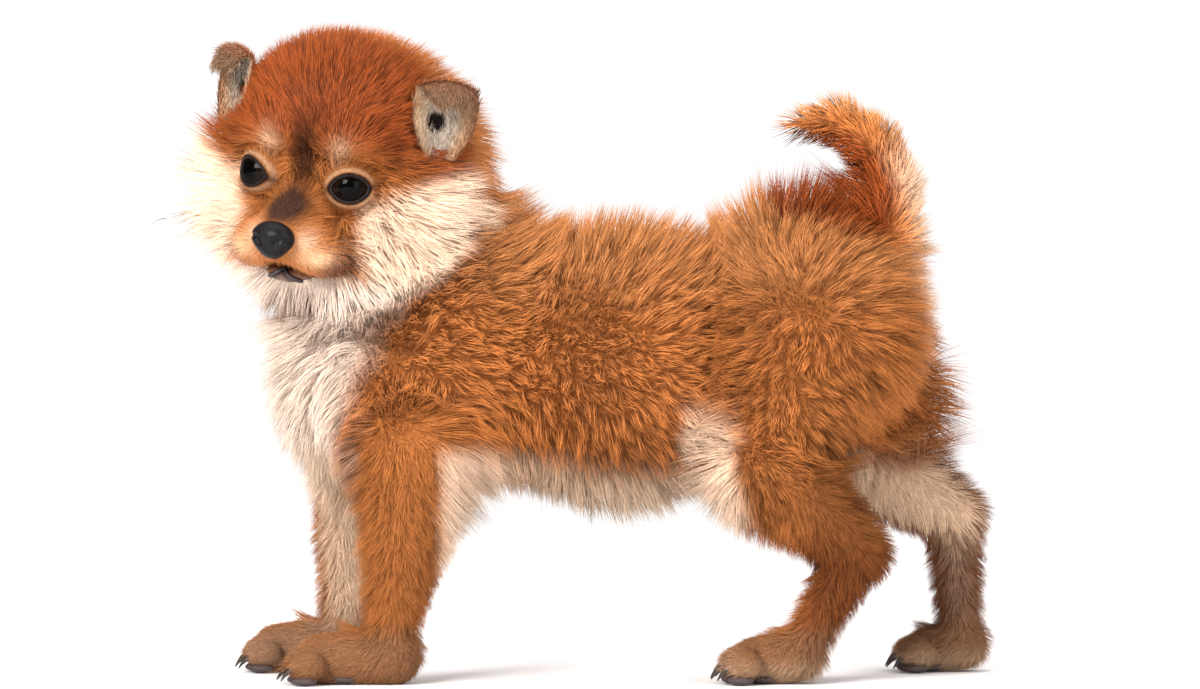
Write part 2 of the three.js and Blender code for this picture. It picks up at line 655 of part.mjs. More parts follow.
// Eyes: each ball's front lies in an almond opening between two lids
const EYE_TURN = THREE.MathUtils.degToRad(25); // each eye looks this far outwards
const EYE_SUNK = 5.2; // from the skin to the middle of the ball
const LID = 1.2;
const OPENING = [7.8, 5.2]; // half width and half height between the lids
const OPENING_FLARE = 0.045; // per millimetre outwards
function eyeOf(side) {
  const facing = [side * Math.sin(EYE_TURN), Math.cos(EYE_TURN), 0.03];
  const outside = [side * EYE_SPREAD + 20 * facing[0], EYE_FRONT + 20 * facing[1], EYE_UP];
  const skin = faceHit(outside, facing.map((v) => -v));
  const normal = headDirection(facing).normalize();
  return { side, normal, centre: skin.addScaledVector(normal, -EYE_SUNK) };
}
const eyes = Object.fromEntries(Object.entries(EYES).map(([name, side]) => [name, eyeOf(side)]));
const eyeBall = ({ centre }, radius) => solid(new THREE.SphereGeometry(radius, 14, 10).translate(...centre));

// The almond opening between the lids, as a prism along the way the eye looks
function eyeOpening({ side, normal, centre }) {
  const outwards = headDirection([side, 0, 0.1]);
  outwards.addScaledVector(normal, -outwards.dot(normal)).normalize();
  const up = new THREE.Vector3().crossVectors(normal, outwards).multiplyScalar(side);
  const rim = Array.from({ length: 20 }, (_, n) => {
    const turn = (n / 20) * 2 * Math.PI;
    const rise = Math.sign(Math.sin(turn)) * Math.abs(Math.sin(turn)) ** 1.25;
    return new THREE.Vector2(OPENING[0] * Math.cos(turn), OPENING[1] * rise);
  });
  const prism = new THREE.ExtrudeGeometry(new THREE.Shape(rim), { depth: 16, bevelEnabled: false });
  const position = prism.attributes.position;
  for (let n = 0; n < position.count; n++) {
    const flare = 1 + OPENING_FLARE * (position.getZ(n) - EYE_SUNK);
    position.setXY(n, position.getX(n) * flare, position.getY(n) * flare);
  }
  const frame = new THREE.Matrix4().makeBasis(outwards, up, normal);
  if (side < 0) frame.makeBasis(outwards.negate(), up, normal);
  return solid(prism.applyMatrix4(frame).translate(...centre));
}

// Nose leather with its nostrils, and its seat in the muzzle
const NOSE_AT = [0.5, 56, -29.5];
const NOSE_RADII = [8.9, 6.2, 6.4];
const noseField = (grow) => {
  const wide = ball([NOSE_AT[0], NOSE_AT[1], NOSE_AT[2] + 1], NOSE_RADII.map((r) => r + grow), 0, 1, HEAD_AXES);
  const low = ball([0, NOSE_AT[1] - 1, NOSE_AT[2] - 4], [4.6 + grow, 5.5 + grow, 4.6 + grow], 0, 1, HEAD_AXES);
  return (p) => smoothMin(wide.distance(p), low.distance(p), 3);
};
const headGrid = (field, side, front, up) =>
  surfaceNet(field, gridLines(...front), gridLines(...side), gridLines(...up), ([f, s, u]) => headPoint([s, f, u]));
const noseShape = (grow) => headGrid(noseField(grow), [-12, [[12, 3.2]]], [46, [[66, 3.2]]], [-40, [[-19, 3.2]]]);
const nostril = (side) =>
  tube([[1.9, 61, -29], [3.3, 62, -28.4], [5.6, 61, -27.6], [7.8, 59.4, -27.4], [9.6, 56.5, -28.4]].map(([u, f, w]) =>
    headPoint([NOSE_AT[0] + side * u, f, w])), (t) => 1.9 - 1.3 * t, 6);
const nose = noseShape(0).subtract(wasm.Manifold.union([nostril(1), nostril(-1)]));

// Line of the mouth: down from the nose, then back along both sides, cut as a thin furrow
const LIP_HEIGHT = [-42.5, -37]; // at the front and at the corners
const LIP_TURN = 1.25; // radians from the front to a corner, seen from above
function mouthLine() {
  const lip = Array.from({ length: 15 }, (_, n) => {
    const turn = ((n - 7) / 7) * LIP_TURN;
    const droop = 4.5 * Math.sin(Math.abs(turn) * 2.5);
    const height = THREE.MathUtils.lerp(LIP_HEIGHT[0], LIP_HEIGHT[1], Math.abs(turn) / LIP_TURN) - droop;
    return faceHit([45 * Math.sin(turn), 25 + 45 * Math.cos(turn), height], [-Math.sin(turn), -Math.cos(turn), 0]);
  });
  const groove = [-33, -37, -42.5].map((w) => faceHit([0, 75, w], [0, -1, 0]));
  return [tube(lip, () => 0.95, 5), tube(groove, () => 0.8, 5)];
}

// Ears: a thin cup whose tip folds forwards. along runs from root to tip and across from edge to edge.
const EAR = { root: [44, 0, 13], length: 42, halfWidth: 15, cup: 9, thick: 2.6 };
const EAR_UP = [0.2, -0.05, 0.97];
const EAR_FACING = [0.5, 0.87, 0];
const EAR_FOLD = 2.5; // radians that the tip turns forwards
function earShell(side) {
  const up = headDirection([side * EAR_UP[0], EAR_UP[1], EAR_UP[2]]).normalize();
  const facing = headDirection([side * EAR_FACING[0], EAR_FACING[1], EAR_FACING[2]]);
  facing.addScaledVector(up, -facing.dot(up)).normalize();
  const wide = new THREE.Vector3().crossVectors(up, facing);
  const root = headPoint([side * EAR.root[0], EAR.root[1], EAR.root[2]]).addScaledVector(up, -6);
  const ROWS = 9;
  const COLUMNS = 8;
  const sheets = [[], []];
  const spine = root.clone();
  for (let row = 0; row <= ROWS; row++) {
    const along = row / ROWS;
    const turn = EAR_FOLD * THREE.MathUtils.smoothstep(along, 0.6, 0.86);
    const rise = up.clone().multiplyScalar(Math.cos(turn)).addScaledVector(facing, Math.sin(turn));
    const outward = facing.clone().multiplyScalar(Math.cos(turn)).addScaledVector(up, -Math.sin(turn));
    if (row) spine.addScaledVector(rise, EAR.length / ROWS);
    const half = EAR.halfWidth * Math.max((1 - along ** 3) ** 0.8, 0.1) * (1 - 0.25 * (1 - along) ** 2);
    for (let column = 0; column <= COLUMNS; column++) {
      const across = (2 * column) / COLUMNS - 1;
      const back = EAR.cup * (1 - across ** 2) * (1 - 0.8 * along);
      const edge = EAR.thick * (1 - 0.55 * across ** 2) * (1 - 0.4 * along);
      const p = spine.clone().addScaledVector(wide, across * half).addScaledVector(outward, -back);
      sheets[0].push(p);
      sheets[1].push(p.clone().addScaledVector(outward, -edge));
    }
  }
  const positions = sheets.flat().flatMap((p) => p.toArray());
  const index = [];
  const n = (sheet, row, column) => (sheet * (ROWS + 1) + row) * (COLUMNS + 1) + column;
  const face = (a, b, c, d) => index.push(a, c, b, a, d, c);
  for (let row = 0; row < ROWS; row++)
    for (let column = 0; column < COLUMNS; column++) {
      face(n(0, row, column), n(0, row + 1, column), n(0, row + 1, column + 1), n(0, row, column + 1));
      face(n(1, row, column), n(1, row, column + 1), n(1, row + 1, column + 1), n(1, row + 1, column));
    }
  for (let row = 0; row < ROWS; row++) {
    face(n(0, row, 0), n(1, row, 0), n(1, row + 1, 0), n(0, row + 1, 0));
    face(n(0, row, COLUMNS), n(0, row + 1, COLUMNS), n(1, row + 1, COLUMNS), n(1, row, COLUMNS));
  }
  for (let column = 0; column < COLUMNS; column++) {
    face(n(0, 0, column), n(0, 0, column + 1), n(1, 0, column + 1), n(1, 0, column));
    face(n(0, ROWS, column), n(1, ROWS, column), n(1, ROWS, column + 1), n(0, ROWS, column + 1));
  }
  return solid(new THREE.BufferGeometry()
    .setAttribute("position", new THREE.Float32BufferAttribute(positions, 3))
    .setIndex(index));
}
const earPit = (side) =>
  headGrid(ball([side * 42, 9, 18], [6, 6, 7], 0, 1, HEAD_AXES).distance, side > 0 ? [33, [[51, 3]]] : [-51, [[-33, 3]]],
    [0, [[18, 3]]], [8, [[28, 3]]]);

// The ruff: rows of locks from the cheeks back to the nape and down to the bib, in the head's frame.
// Each row is a turn back from the face, a count, and the first and last turn down from the crown.
const RUFF_ROWS = [[-0.3, 8, 1.4, 3.1], [0.1, 10, 1.2, 3.0], [0.5, 10, 0.9, 2.9], [0.9, 8, 0.7, 2.2]];
function ruff() {
  const middle = headPoint([0, -4, -16]);
  return RUFF_ROWS.flatMap(([back, count, first, last]) =>
    bothSides((side) =>
      Array.from({ length: count }, (_, n) => {
        const around = THREE.MathUtils.lerp(first, last, (n + random(-0.25, 0.25)) / (count - 1));
        const out = Math.cos(back);
        const direction = headDirection([side * Math.sin(around) * out, -Math.sin(back), Math.cos(around) * out]);
        const lie = headDirection([side * 0.2 * Math.sin(around), -1, 0.75 * Math.cos(around)]);
        return lockToward(middle, direction, lie, 17, 5.5);
      }),
    ),
  );
}

// Head
const FACE_FRONT = 13; // how far forward the finer mesh of the face begins
const faceSeam = (at) => ({ point: headPoint([0, at, 0]), normal: headDirection([0, 1, 0]) });
for (const { centre } of Object.values(eyes)) FORMS.push(ball([...centre], Array(3).fill(EYE_RADIUS + LID), 0, 3));
const face = headGrid(
  bodyField,
  [-70, [[-32, 9], [32, 4.8], [70, 9]]],
  [6, [[70, 4.8]]],
  [-82, [[-54, 9], [4, 4.8], [60, 9.5]]],
);
const skull = headGrid(bodyField, [-76, [[76, 11]]], [-66, [[22, 10]]], [-86, [[64, 10]]]);
const headCore = keep(face, faceSeam(FACE_FRONT)).add(keep(skull, opposite(faceSeam(FACE_FRONT + 3 * GAP))));
const inHead = (made) => keep(keep(made, HEAD_SEAM), NECK_SEAM);
let head = inHead(headCore).add(clearOf(ruff(), bodyGuard.subtract(inHead(bodyGuard))));
head = wasm.Manifold.difference([
  head,
  eyeBall(eyes.left, EYE_RADIUS + GAP),
  eyeBall(eyes.right, EYE_RADIUS + GAP),
  eyeOpening(eyes.left),
  eyeOpening(eyes.right),
  noseShape(GAP),
  ...mouthLine(),
  earPit(1),
  earPit(-1),
]);
addNode("head", head, materials.red);
addNode("nose", nose, materials.dark);
addNode("eye_left", eyeBall(eyes.left, EYE_RADIUS), materials.eye);
addNode("eye_right", eyeBall(eyes.right, EYE_RADIUS), materials.eye);
for (const [name, side] of Object.entries(EYES)) {
  const span = side > 0 ? [16, [[66, 5]]] : [-66, [[-16, 5]]];
  const cutter = headGrid((p) => bodyField(p) - GAP, span, [-30, [[30, 5]]], [0, [[60, 5]]]);
  addNode(`ear_${name}`, earShell(side).subtract(cutter), materials.red);
}

// The origin is the middle of the floor under the whole puppy
const box = new THREE.Box3().setFromObject(puppy);
const centre = box.getCenter(new THREE.Vector3());
for (const mesh of puppy.children) mesh.geometry.translate(-centre.x, -centre.y, -box.min.z);

export default puppy;
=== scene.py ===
"""Still, life-size shiba inu puppy of about seven weeks: its skin, coat, eyes, nose, ears and claws,
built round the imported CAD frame.

Lengths are millimetres in the source's coordinates: +Z up, the puppy faces -X and its left is -Y.
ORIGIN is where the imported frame's origin lies in them. mesh_object moves each mesh by it and turns
its points into metres.
"""
import math

import bpy
import numpy as np
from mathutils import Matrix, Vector


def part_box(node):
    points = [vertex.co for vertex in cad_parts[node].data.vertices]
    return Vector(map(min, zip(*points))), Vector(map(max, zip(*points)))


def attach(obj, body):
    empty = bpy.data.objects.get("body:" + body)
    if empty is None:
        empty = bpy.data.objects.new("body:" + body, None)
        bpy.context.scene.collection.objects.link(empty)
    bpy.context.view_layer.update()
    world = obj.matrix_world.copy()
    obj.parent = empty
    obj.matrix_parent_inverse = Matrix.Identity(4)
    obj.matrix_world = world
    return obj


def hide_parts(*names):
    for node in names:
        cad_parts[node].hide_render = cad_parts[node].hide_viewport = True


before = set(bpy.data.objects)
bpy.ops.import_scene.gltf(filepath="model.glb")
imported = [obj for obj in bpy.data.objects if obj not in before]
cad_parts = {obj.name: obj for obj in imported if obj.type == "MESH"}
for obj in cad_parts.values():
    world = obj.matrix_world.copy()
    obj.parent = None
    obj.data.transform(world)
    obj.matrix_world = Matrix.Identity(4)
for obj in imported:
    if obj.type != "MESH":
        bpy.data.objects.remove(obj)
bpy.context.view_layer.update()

ORIGIN = np.array([-1.452, -1.373, 0.0])
MM = 0.001

# Head pose, as in the source: turned towards its left, tipped down and tilted over
HEAD_AT = np.array([-103.0, -14.0, 210.0])
HEAD_YAW = math.radians(22)
HEAD_PITCH = math.radians(8)
HEAD_ROLL = math.radians(10)

# Each kind of fur: how deep it stands on the skin, how steeply its tufts leave and end (degrees),
# their width at the root, how many grow on a square millimetre, how far they lean into clumps of
# clump_size, and how much they curl.
FUR_COLUMNS = ("depth", "lift", "lay", "width", "density", "clump", "clump_size", "curl")
FUR_ROWS = {
    "trunk": (13.0, 82, 62, 0.34, 1.0, 0.36, 5.0, 0.9),
    "breast": (13.0, 70, 36, 0.36, 0.85, 0.34, 7.0, 0.4),
    "neck": (15.0, 80, 56, 0.34, 1.0, 0.34, 5.5, 0.6),
    "crown": (8.0, 72, 54, 0.3, 1.65, 0.14, 4.0, 0.25),
    "cheek": (13.0, 66, 34, 0.36, 1.15, 0.26, 6.0, 0.25),
    "face": (2.6, 46, 26, 0.24, 3.6, 0.08, 3.0, 0.15),
    "thigh": (12.0, 82, 60, 0.34, 1.0, 0.42, 6.0, 0.9),
    "leg": (6.0, 60, 40, 0.3, 1.8, 0.28, 5.0, 0.45),
    "foot": (2.0, 40, 20, 0.28, 2.3, 0.14, 3.5, 0.25),
    "tail": (6.5, 70, 42, 0.4, 1.3, 0.3, 6.0, 0.3),
    "bare": (0.0, 20, 10, 0.3, 0.0, 0.0, 4.0, 0.0),
}
FUR = {name: dict(zip(FUR_COLUMNS, row)) for name, row in FUR_ROWS.items()}


def unit(v):
    """The vectors divided by their lengths."""
    v = np.asarray(v, float)
    return v / np.maximum(np.linalg.norm(v, axis=-1, keepdims=True), 1e-9)


def ease(low, high, x):
    """0 up to low and 1 from high on, with the cubic 3t^2 - 2t^3 between; low may be the larger."""
    t = np.clip((np.asarray(x, float) - low) / (high - low), 0, 1)
    return t * t * (3 - 2 * t)


def mix(a, b, share):
    """a times (1 - share) plus b times share, with one share for each row."""
    share = np.asarray(share, float)[..., None]
    return a * (1 - share) + b * share


def head_axes():
    """Rows side, front and up of the head: yaw, then pitch, then a roll of side and up in their
    plane."""
    front = np.array([
        -math.sin(HEAD_YAW) * math.cos(HEAD_PITCH),
        -math.cos(HEAD_YAW) * math.cos(HEAD_PITCH),
        -math.sin(HEAD_PITCH),
    ])
    level = np.array([math.cos(HEAD_YAW), -math.sin(HEAD_YAW), 0.0])
    upright = np.cross(front, level)
    up = upright * math.cos(HEAD_ROLL) + level * math.sin(HEAD_ROLL)
    side = level * math.cos(HEAD_ROLL) - upright * math.sin(HEAD_ROLL)
    return np.array([side, front, up])


HEAD = head_axes()


def head_point(local):
    """HEAD_AT plus side, front and up times the three local numbers."""
    return HEAD_AT + np.asarray(local, float) @ HEAD


def head_local(p):
    """The point's side, front and up in the head's frame."""
    return (p - HEAD_AT) @ HEAD.T


# Forms of the body's field. Each has a distance, negative inside, its fur, the width over which it
# blends with what comes before, the lie of its hair, and the name of the coat piece that it carries.
def ball(centre, radii, fur, blend, lie, piece, in_head=False):
    """An ellipsoid: r(r - 1)/s, where r is the point's length in units of the radii and s its slope."""
    axes = HEAD if in_head else np.eye(3)
    centre = head_point(centre) if in_head else np.array(centre, float)
    radii = np.array(radii, float)
    half = np.sqrt(((axes * radii[:, None]) ** 2).sum(0))

    def distance(p):
        local = (p - centre) @ axes.T / radii
        reach = np.linalg.norm(local, axis=-1)
        slope = np.linalg.norm(local / radii, axis=-1)
        return reach * (reach - 1) / np.maximum(slope, 1e-9)

    low, high = centre - half, centre + half
    return dict(distance=distance, fur=fur, blend=blend, lie=lie, piece=piece, low=low, high=high)


def limb(start, end, start_radius, end_radius, fur, blend, lie, piece, in_head=False):
    """A tapered limb: the distance to the nearest point of its axis less the radius there."""
    start, end = (head_point(v) if in_head else np.array(v, float) for v in (start, end))
    run = end - start
    wide = max(start_radius, end_radius)

    def distance(p):
        share = np.clip((p - start) @ run / (run @ run), 0, 1)
        nearest = start + share[..., None] * run
        radius = start_radius + (end_radius - start_radius) * share
        return np.linalg.norm(p - nearest, axis=-1) - radius

    if lie is None:
        lie = tuple(unit(run))
    low, high = np.minimum(start, end) - wide, np.maximum(start, end) + wide
    return dict(distance=distance, fur=fur, blend=blend, lie=lie, piece=piece, low=low, high=high)


FROM_NOSE = "from nose"  # the hair's lie where it spreads away from the nose

TRUNK_FORMS = [
    ball((-58, 0, 128), (70, 50, 58), "trunk", 1, (1, 0, -0.45), "ribs"),
    ball((-91, 0, 119), (47, 44, 49), "breast", 14, (0.35, 0, -1), "breast"),
    ball((8, 0, 125), (74, 52, 61), "trunk", 12, (1, 0, -0.4), "loin"),
    ball((84, 0, 144), (53, 47, 56), "trunk", 14, (0.9, 0, -0.6), "croup"),
    limb((-58, 0, 150), (-88, -6, 186), 47, 42, "neck", 16, (0.8, 0, -0.75), "neck"),
]


def foreleg_forms(side, lead):
    """Shoulder ball, upper limb and forearm; lead moves the leg forward."""
    foot = (-82 - lead, side * 35, 20)
    elbow = (-77 - lead, side * 35, 54)
    return [
        ball((-74 - lead / 2, side * 30, 108), (34, 23, 42), "trunk", 16, (0.45, 0, -0.9), "shoulder"),
        limb((-74 - lead, side * 34, 92), elbow, 27, 20, "leg", 12, (0.3, 0, -1), "foreleg"),
        limb(elbow, foot, 20, 15, "leg", 4, (0.12, 0, -1), "foreleg"),
    ]


def hindleg_forms(side, hip, knee, hock, foot):
    """Thigh, lower leg and hock, each a limb between two joints."""
    hip, knee, hock, foot = ((x, side * y, z) for x, y, z in (hip, knee, hock, foot))
    return [
        limb(hip, knee, 42, 27, "thigh", 14, (0.4, 0, -0.95), "thigh"),
        limb(knee, hock, 27, 17, "leg", 6, (0.5, 0, -0.9), "hindleg"),
        limb(hock, foot, 15.5, 13, "leg", 5, (-0.05, 0, -1), "hindleg"),
    ]


LEG_FORMS = [
    *foreleg_forms(-1, 0),
    *foreleg_forms(1, 22),
    *hindleg_forms(-1, (84, 25, 136), (66, 35, 84), (101, 34, 52), (78, 33, 12)),
    *hindleg_forms(1, (90, 24, 138), (101, 34, 90), (144, 34, 64), (147, 34, 12)),
]

TAIL = [  # middle and radius of the tail at its stations
    ((106, 0, 158), 17),
    ((116, -1, 178), 15.5),
    ((116, -2, 197), 14.5),
    ((108, -4, 213), 13.5),
    ((95, -5, 222), 11.5),
    ((80, -6, 221), 8),
]
TAIL_BLENDS = (8, 3, 3, 3, 3)
TAIL_FORMS = [
    limb(start, end, start_radius, end_radius, "tail", blend, None, "tail")
    for (start, start_radius), (end, end_radius), blend in zip(TAIL[:-1], TAIL[1:], TAIL_BLENDS)
]

HEAD_FORMS = [
    ball((0, -6, 9), (49, 46, 40), "crown", 12, FROM_NOSE, "crown", True),
    ball((-87, 0, 207), (49, 49, 48), "neck", 10, (0.75, 0.2, -0.6), "neck"),
    *[
        form
        for s in (-1, 1)
        for form in (
            ball((28.5 * s, 0, -16), (33, 29, 37), "cheek", 12, FROM_NOSE, "ruff", True),
            ball((17 * s, 24, 6), (15, 13, 12), "face", 10, FROM_NOSE, "face", True),
            ball((21 * s, 25, -20), (14, 11, 12), "face", 8, FROM_NOSE, "face", True),
            ball((11.5 * s, 39, -35), (12, 13, 11), "face", 6, FROM_NOSE, "face", True),
        )
    ],
    ball((0, 6, -40), (42, 34, 32), "cheek", 14, FROM_NOSE, "ruff", True),
    limb((0, 24, -20), (0, 47, -29), 18, 11, "face", 9, FROM_NOSE, "face", True),
    ball((0, 34, -45), (14, 13, 7), "face", 4, FROM_NOSE, "face", True),
]

FEET = [  # ankle x, ankle y, width, length
    (-84, -35, 32, 38),
    (-106, 35, 32, 38),
    (75, -33, 30, 27),
    (145, 34, 30, 24),
]
TOES = (-1.5, -0.5, 0.5, 1.5)
TOE_RADIUS = 6.6


def toe_centre(toe, foot):
    """Middle of one toe: they fan across the foot, the outer ones a little further back."""
    x, y, width, length = foot
    forward = x - length + TOE_RADIUS + 2.2 * abs(toe) - 1.5
    return np.array([forward, y + toe * width / 3.6, TOE_RADIUS + 1.6])


def foot_forms(foot):
    """A limb along the foot and one ball for each toe."""
    x, y, width, length = foot
    heel, front = (x + 2, y, 11), (x - length + 13, y, 9)
    half = width / 2
    body = limb(heel, front, half - 2, half - 4, "foot", 6, (-1, 0, -0.5), "feet")
    radii = (9, TOE_RADIUS, TOE_RADIUS + 1)
    toes = [ball(toe_centre(t, foot), radii, "foot", 2.5, (-1, 0, -0.35), "feet") for t in TOES]
    return [body, *toes]


# Eyes sit where the CAD solids are
EYE_TURN = math.radians(25)
EYE_BALL = 9  # radius that the lids are laid round
LID = 0.95  # thickness of a lid
OPENING = (7.1, 5.0)  # half width and half height between the lids


def eye_frame(node, side):
    """Centre and radius of the CAD eye, and rows: outwards, up and the way the eye looks."""
    low, high = (np.array(v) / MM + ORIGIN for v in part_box(node))
    look = unit(np.array([side * math.sin(EYE_TURN), math.cos(EYE_TURN), 0.03]) @ HEAD)
    outwards = np.array([side, 0, 0.1]) @ HEAD
    outwards = unit(outwards - look * (outwards @ look))
    up = np.cross(look, outwards) * side
    radius = float(np.mean(high - low) / 2)
    return dict(centre=(low + high) / 2, radius=radius, axes=np.array([outwards, up, look]))


EYES = [eye_frame("eye_left", 1), eye_frame("eye_right", -1)]
# The right buttock, which shows behind the left thigh
REAR_FORMS = [ball((130, 27, 113), (14, 18, 26), "thigh", 10, (0.5, 0, -0.8), "thigh")]
LID_FORMS = [ball(eye["centre"], [EYE_BALL + LID] * 3, "face", 3, FROM_NOSE, "face") for eye in EYES]
FOOT_FORMS = [form for foot in FEET for form in foot_forms(foot)]

# Each form is blended into all that stand before it, so their order shapes the body
FORMS = [*TRUNK_FORMS, *LEG_FORMS, *TAIL_FORMS, *HEAD_FORMS, *FOOT_FORMS, *REAR_FORMS, *LID_FORMS]


def smooth_min(a, b, k):
    """The lesser of a and b, less k/4 times the square of how far they are within k of each other."""
    overlap = np.maximum(k - np.abs(a - b), 0) / k
    return np.minimum(a, b) - overlap * overlap * k / 4


def add_form(form, p, value, depth):
    """One more form in the rounded union, and the fur's depth blended in the same measure."""
    distance = form["distance"](p)
    share = ease(-form["blend"], form["blend"], value - distance)
    own = FUR[form["fur"]]["depth"]
    return smooth_min(value, distance, form["blend"]), depth + (own - depth) * share


def almond(eye, p):
    """Distance to the rim between the lids: (x/a)^2 + (|y|/b)^1.6 = 1 on the ball, widening in a
    cone from its middle as far as the lids reach."""
    local = (p - eye["centre"]) @ eye["axes"].T
    flare = np.clip(np.linalg.norm(local, axis=-1), 6, 10.6) / EYE_BALL
    across = local[..., 0] / (OPENING[0] * flare)
    rise = np.abs(local[..., 1]) / (OPENING[1] * flare)
    return (np.sqrt(across ** 2 + rise ** 1.6) - 1) * OPENING[1], local[..., 2]


def polyline_distance(p, points):
    """Distance from each point to the nearest of the line's straight lengths."""
    best = np.full(p.shape[:-1], 1e3)
    for start, end in zip(points[:-1], points[1:]):
        run = end - start
        share = np.clip((p - start) @ run / (run @ run), 0, 1)
        best = np.minimum(best, np.linalg.norm(p - start - share[..., None] * run, axis=-1))
    return best


CARVED = []  # (low corner, high corner, field that is negative inside, rounding, whether it adds flesh)


def carve(p, value):
    """The field with its hollows taken out, the greater of it and minus each hollow, and the lids
    added, the lesser of it and each, all rounded."""
    for box_low, box_high, shape, rounding, adds in CARVED:
        near = np.all((p > box_low) & (p < box_high), axis=-1)
        if near.any():
            sign = 1 if adds else -1
            value[near] = sign * smooth_min(sign * value[near], shape(p[near]), rounding)
    return np.maximum(value, -p[..., 2])


def skin_field(p):
    """The rounded union of all forms, which is the tips of the coat, shrunk by the fur's depth there,
    with the hollows taken out."""
    value, depth = coat_field(p)
    return carve(p, value + depth)


def coat_field(p):
    """Distance to the tips of the coat, and the coat's depth, at each point."""
    value, depth = np.full(len(p), 40.0), np.zeros(len(p))
    for form in FORMS:
        margin = 14 + form["blend"]
        near = np.all((p > form["low"] - margin) & (p < form["high"] + margin), axis=1)
        if near.any():
            value[near], depth[near] = add_form(form, p[near], value[near], depth[near])
    return value, depth


def slope_of(field, p, step=0.3):
    """The field's slope, from its difference over a step either way along each axis."""
    ways = step * np.eye(3)
    return np.stack([(field(p + way) - field(p - way)) / (2 * step) for way in ways], axis=1)


def cast(start, direction, reach=70.0):
    """Where rays first meet the skin: the first change of sign along them, then ten halvings."""
    start, direction = np.asarray(start, float), unit(direction)
    steps = np.linspace(0, reach, 141)
    along = start[:, None] + steps[None, :, None] * direction[:, None]
    inside = skin_field(along.reshape(-1, 3)).reshape(along.shape[:2]) < 0
    first = np.argmax(inside, axis=1)
    low, high = steps[np.maximum(first - 1, 0)], steps[first]
    for _ in range(10):
        middle = (low + high) / 2
        within = skin_field(start + middle[:, None] * direction) < 0
        low, high = np.where(within, low, middle), np.where(within, middle, high)
    return start + high[:, None] * direction


def surface_net(values, lines):
    """Vertices and quads of a field's zero surface: one vertex in each cell that it crosses, at the
    mean of the crossings on the cell's edges, and one quad round each grid edge that it crosses."""
    inside = values < 0
    shape = [n - 1 for n in values.shape]
    corners = np.array([[c & 1, c >> 1 & 1, c >> 2] for c in range(8)])
    count = np.zeros(shape, np.int8)
    for c in corners:
        count += inside[c[0]:c[0] + shape[0], c[1]:c[1] + shape[1], c[2]:c[2] + shape[2]]
    cells = np.argwhere((count > 0) & (count < 8))
    at = cells[:, None] + corners
    held = values[at[..., 0], at[..., 1], at[..., 2]]
    places = np.stack([lines[axis][at[..., axis]] for axis in range(3)], axis=-1)
    total, crossings = np.zeros((len(cells), 3)), np.zeros(len(cells))
    for a in range(8):
        for b in range(a + 1, 8):
            if np.abs(corners[a] - corners[b]).sum() != 1:
                continue
            crossed = (held[:, a] < 0) != (held[:, b] < 0)
            share = held[crossed, a] / (held[crossed, a] - held[crossed, b])
            total[crossed] += mix(places[crossed, a], places[crossed, b], share)
            crossings += crossed
    vertices = total / crossings[:, None]
    number = np.full(shape, -1)
    number[tuple(cells.T)] = np.arange(len(cells))
    quads = []
    for axis in range(3):
        b, c = (axis + 1) % 3, (axis + 2) % 3
        low = np.take(inside, np.arange(shape[axis]), axis)
        high = np.take(inside, np.arange(1, shape[axis] + 1), axis)
        edges = np.argwhere(low != high)
        across = edges[:, [b, c]]
        edges = edges[np.all((across > 0) & (across < [shape[b], shape[c]]), axis=1)]
        step_b, step_c = np.eye(3, dtype=int)[b], np.eye(3, dtype=int)[c]
        ring = [edges - step_b - step_c, edges - step_c, edges, edges - step_b]
        quad = np.stack([number[tuple(cell.T)] for cell in ring], axis=1)
        here = low[tuple(edges.T)]
        quads.append(np.where(here[:, None], quad, quad[:, [0, 3, 2, 1]]))
    return vertices, np.concatenate(quads)


def lines_along(low, steps):
    """Grid lines from low on, with a step of its own up to each next mark."""
    lines = [np.array([low], float)]
    for up_to, step in steps:
        start = lines[-1][-1]
        count = max(1, round((up_to - start) / step))
        lines.append(start + (up_to - start) * np.arange(1, count + 1) / count)
    return np.concatenate(lines)


def vertex_normals(points, faces):
    """Mean of the faces' normals at each vertex, each as long as its face is large."""
    corners = points[faces]
    across = corners[:, 2] - corners[:, 0]
    other = corners[:, 3] - corners[:, 1] if faces.shape[1] == 4 else corners[:, 1] - corners[:, 0]
    face_normal = np.cross(across, other) if faces.shape[1] == 4 else -np.cross(across, other)
    total = np.zeros_like(points)
    for n in range(faces.shape[1]):
        for axis in range(3):
            total[:, axis] += np.bincount(faces[:, n], face_normal[:, axis], len(points))
    return unit(total)


# Random fields
def drift(p, size, seed):
    """Smooth random value from -1 to 1: random numbers on a lattice, blended by cubic eases."""
    table = np.random.default_rng(seed).uniform(-1, 1, (32, 32, 32))
    q = p / size
    cell = np.floor(q).astype(int)
    share = q - cell
    share = share * share * (3 - 2 * share)
    value = np.zeros(len(p))
    for c in range(8):
        corner = np.array([c & 1, c >> 1 & 1, c >> 2])
        weight = np.prod(np.where(corner, share, 1 - share), axis=1)
        value += weight * table[tuple(((cell + corner) % 32).T)]
    return value


def clumps(p, size, seed):
    """The nearest of one random centre in each cube of a lattice: the way to it, a random number of
    its own, and how far the point is from the border with the next one, from 0 to 1."""
    table = np.random.default_rng(seed).uniform(0, 1, (32, 32, 32, 4))
    size = np.broadcast_to(size, len(p))[:, None]
    cell = np.floor(p / size).astype(int)
    best, second = np.full(len(p), 1e3), np.full(len(p), 1e3)
    way, own = np.zeros((len(p), 3)), np.zeros(len(p))
    for n in range(27):
        at = cell + np.array([n % 3 - 1, n // 3 % 3 - 1, n // 9 - 1])
        held = table[tuple((at % 32).T)]
        gap = (at + held[:, :3]) * size - p
        reach = np.linalg.norm(gap, axis=1)
        closer = reach < best
        second = np.where(closer, best, np.minimum(second, reach))
        best = np.where(closer, reach, best)
        way[closer], own[closer] = gap[closer], held[closer, 3]
    return way, own, np.clip((second - best) / (0.5 * size[:, 0]), 0, 1)


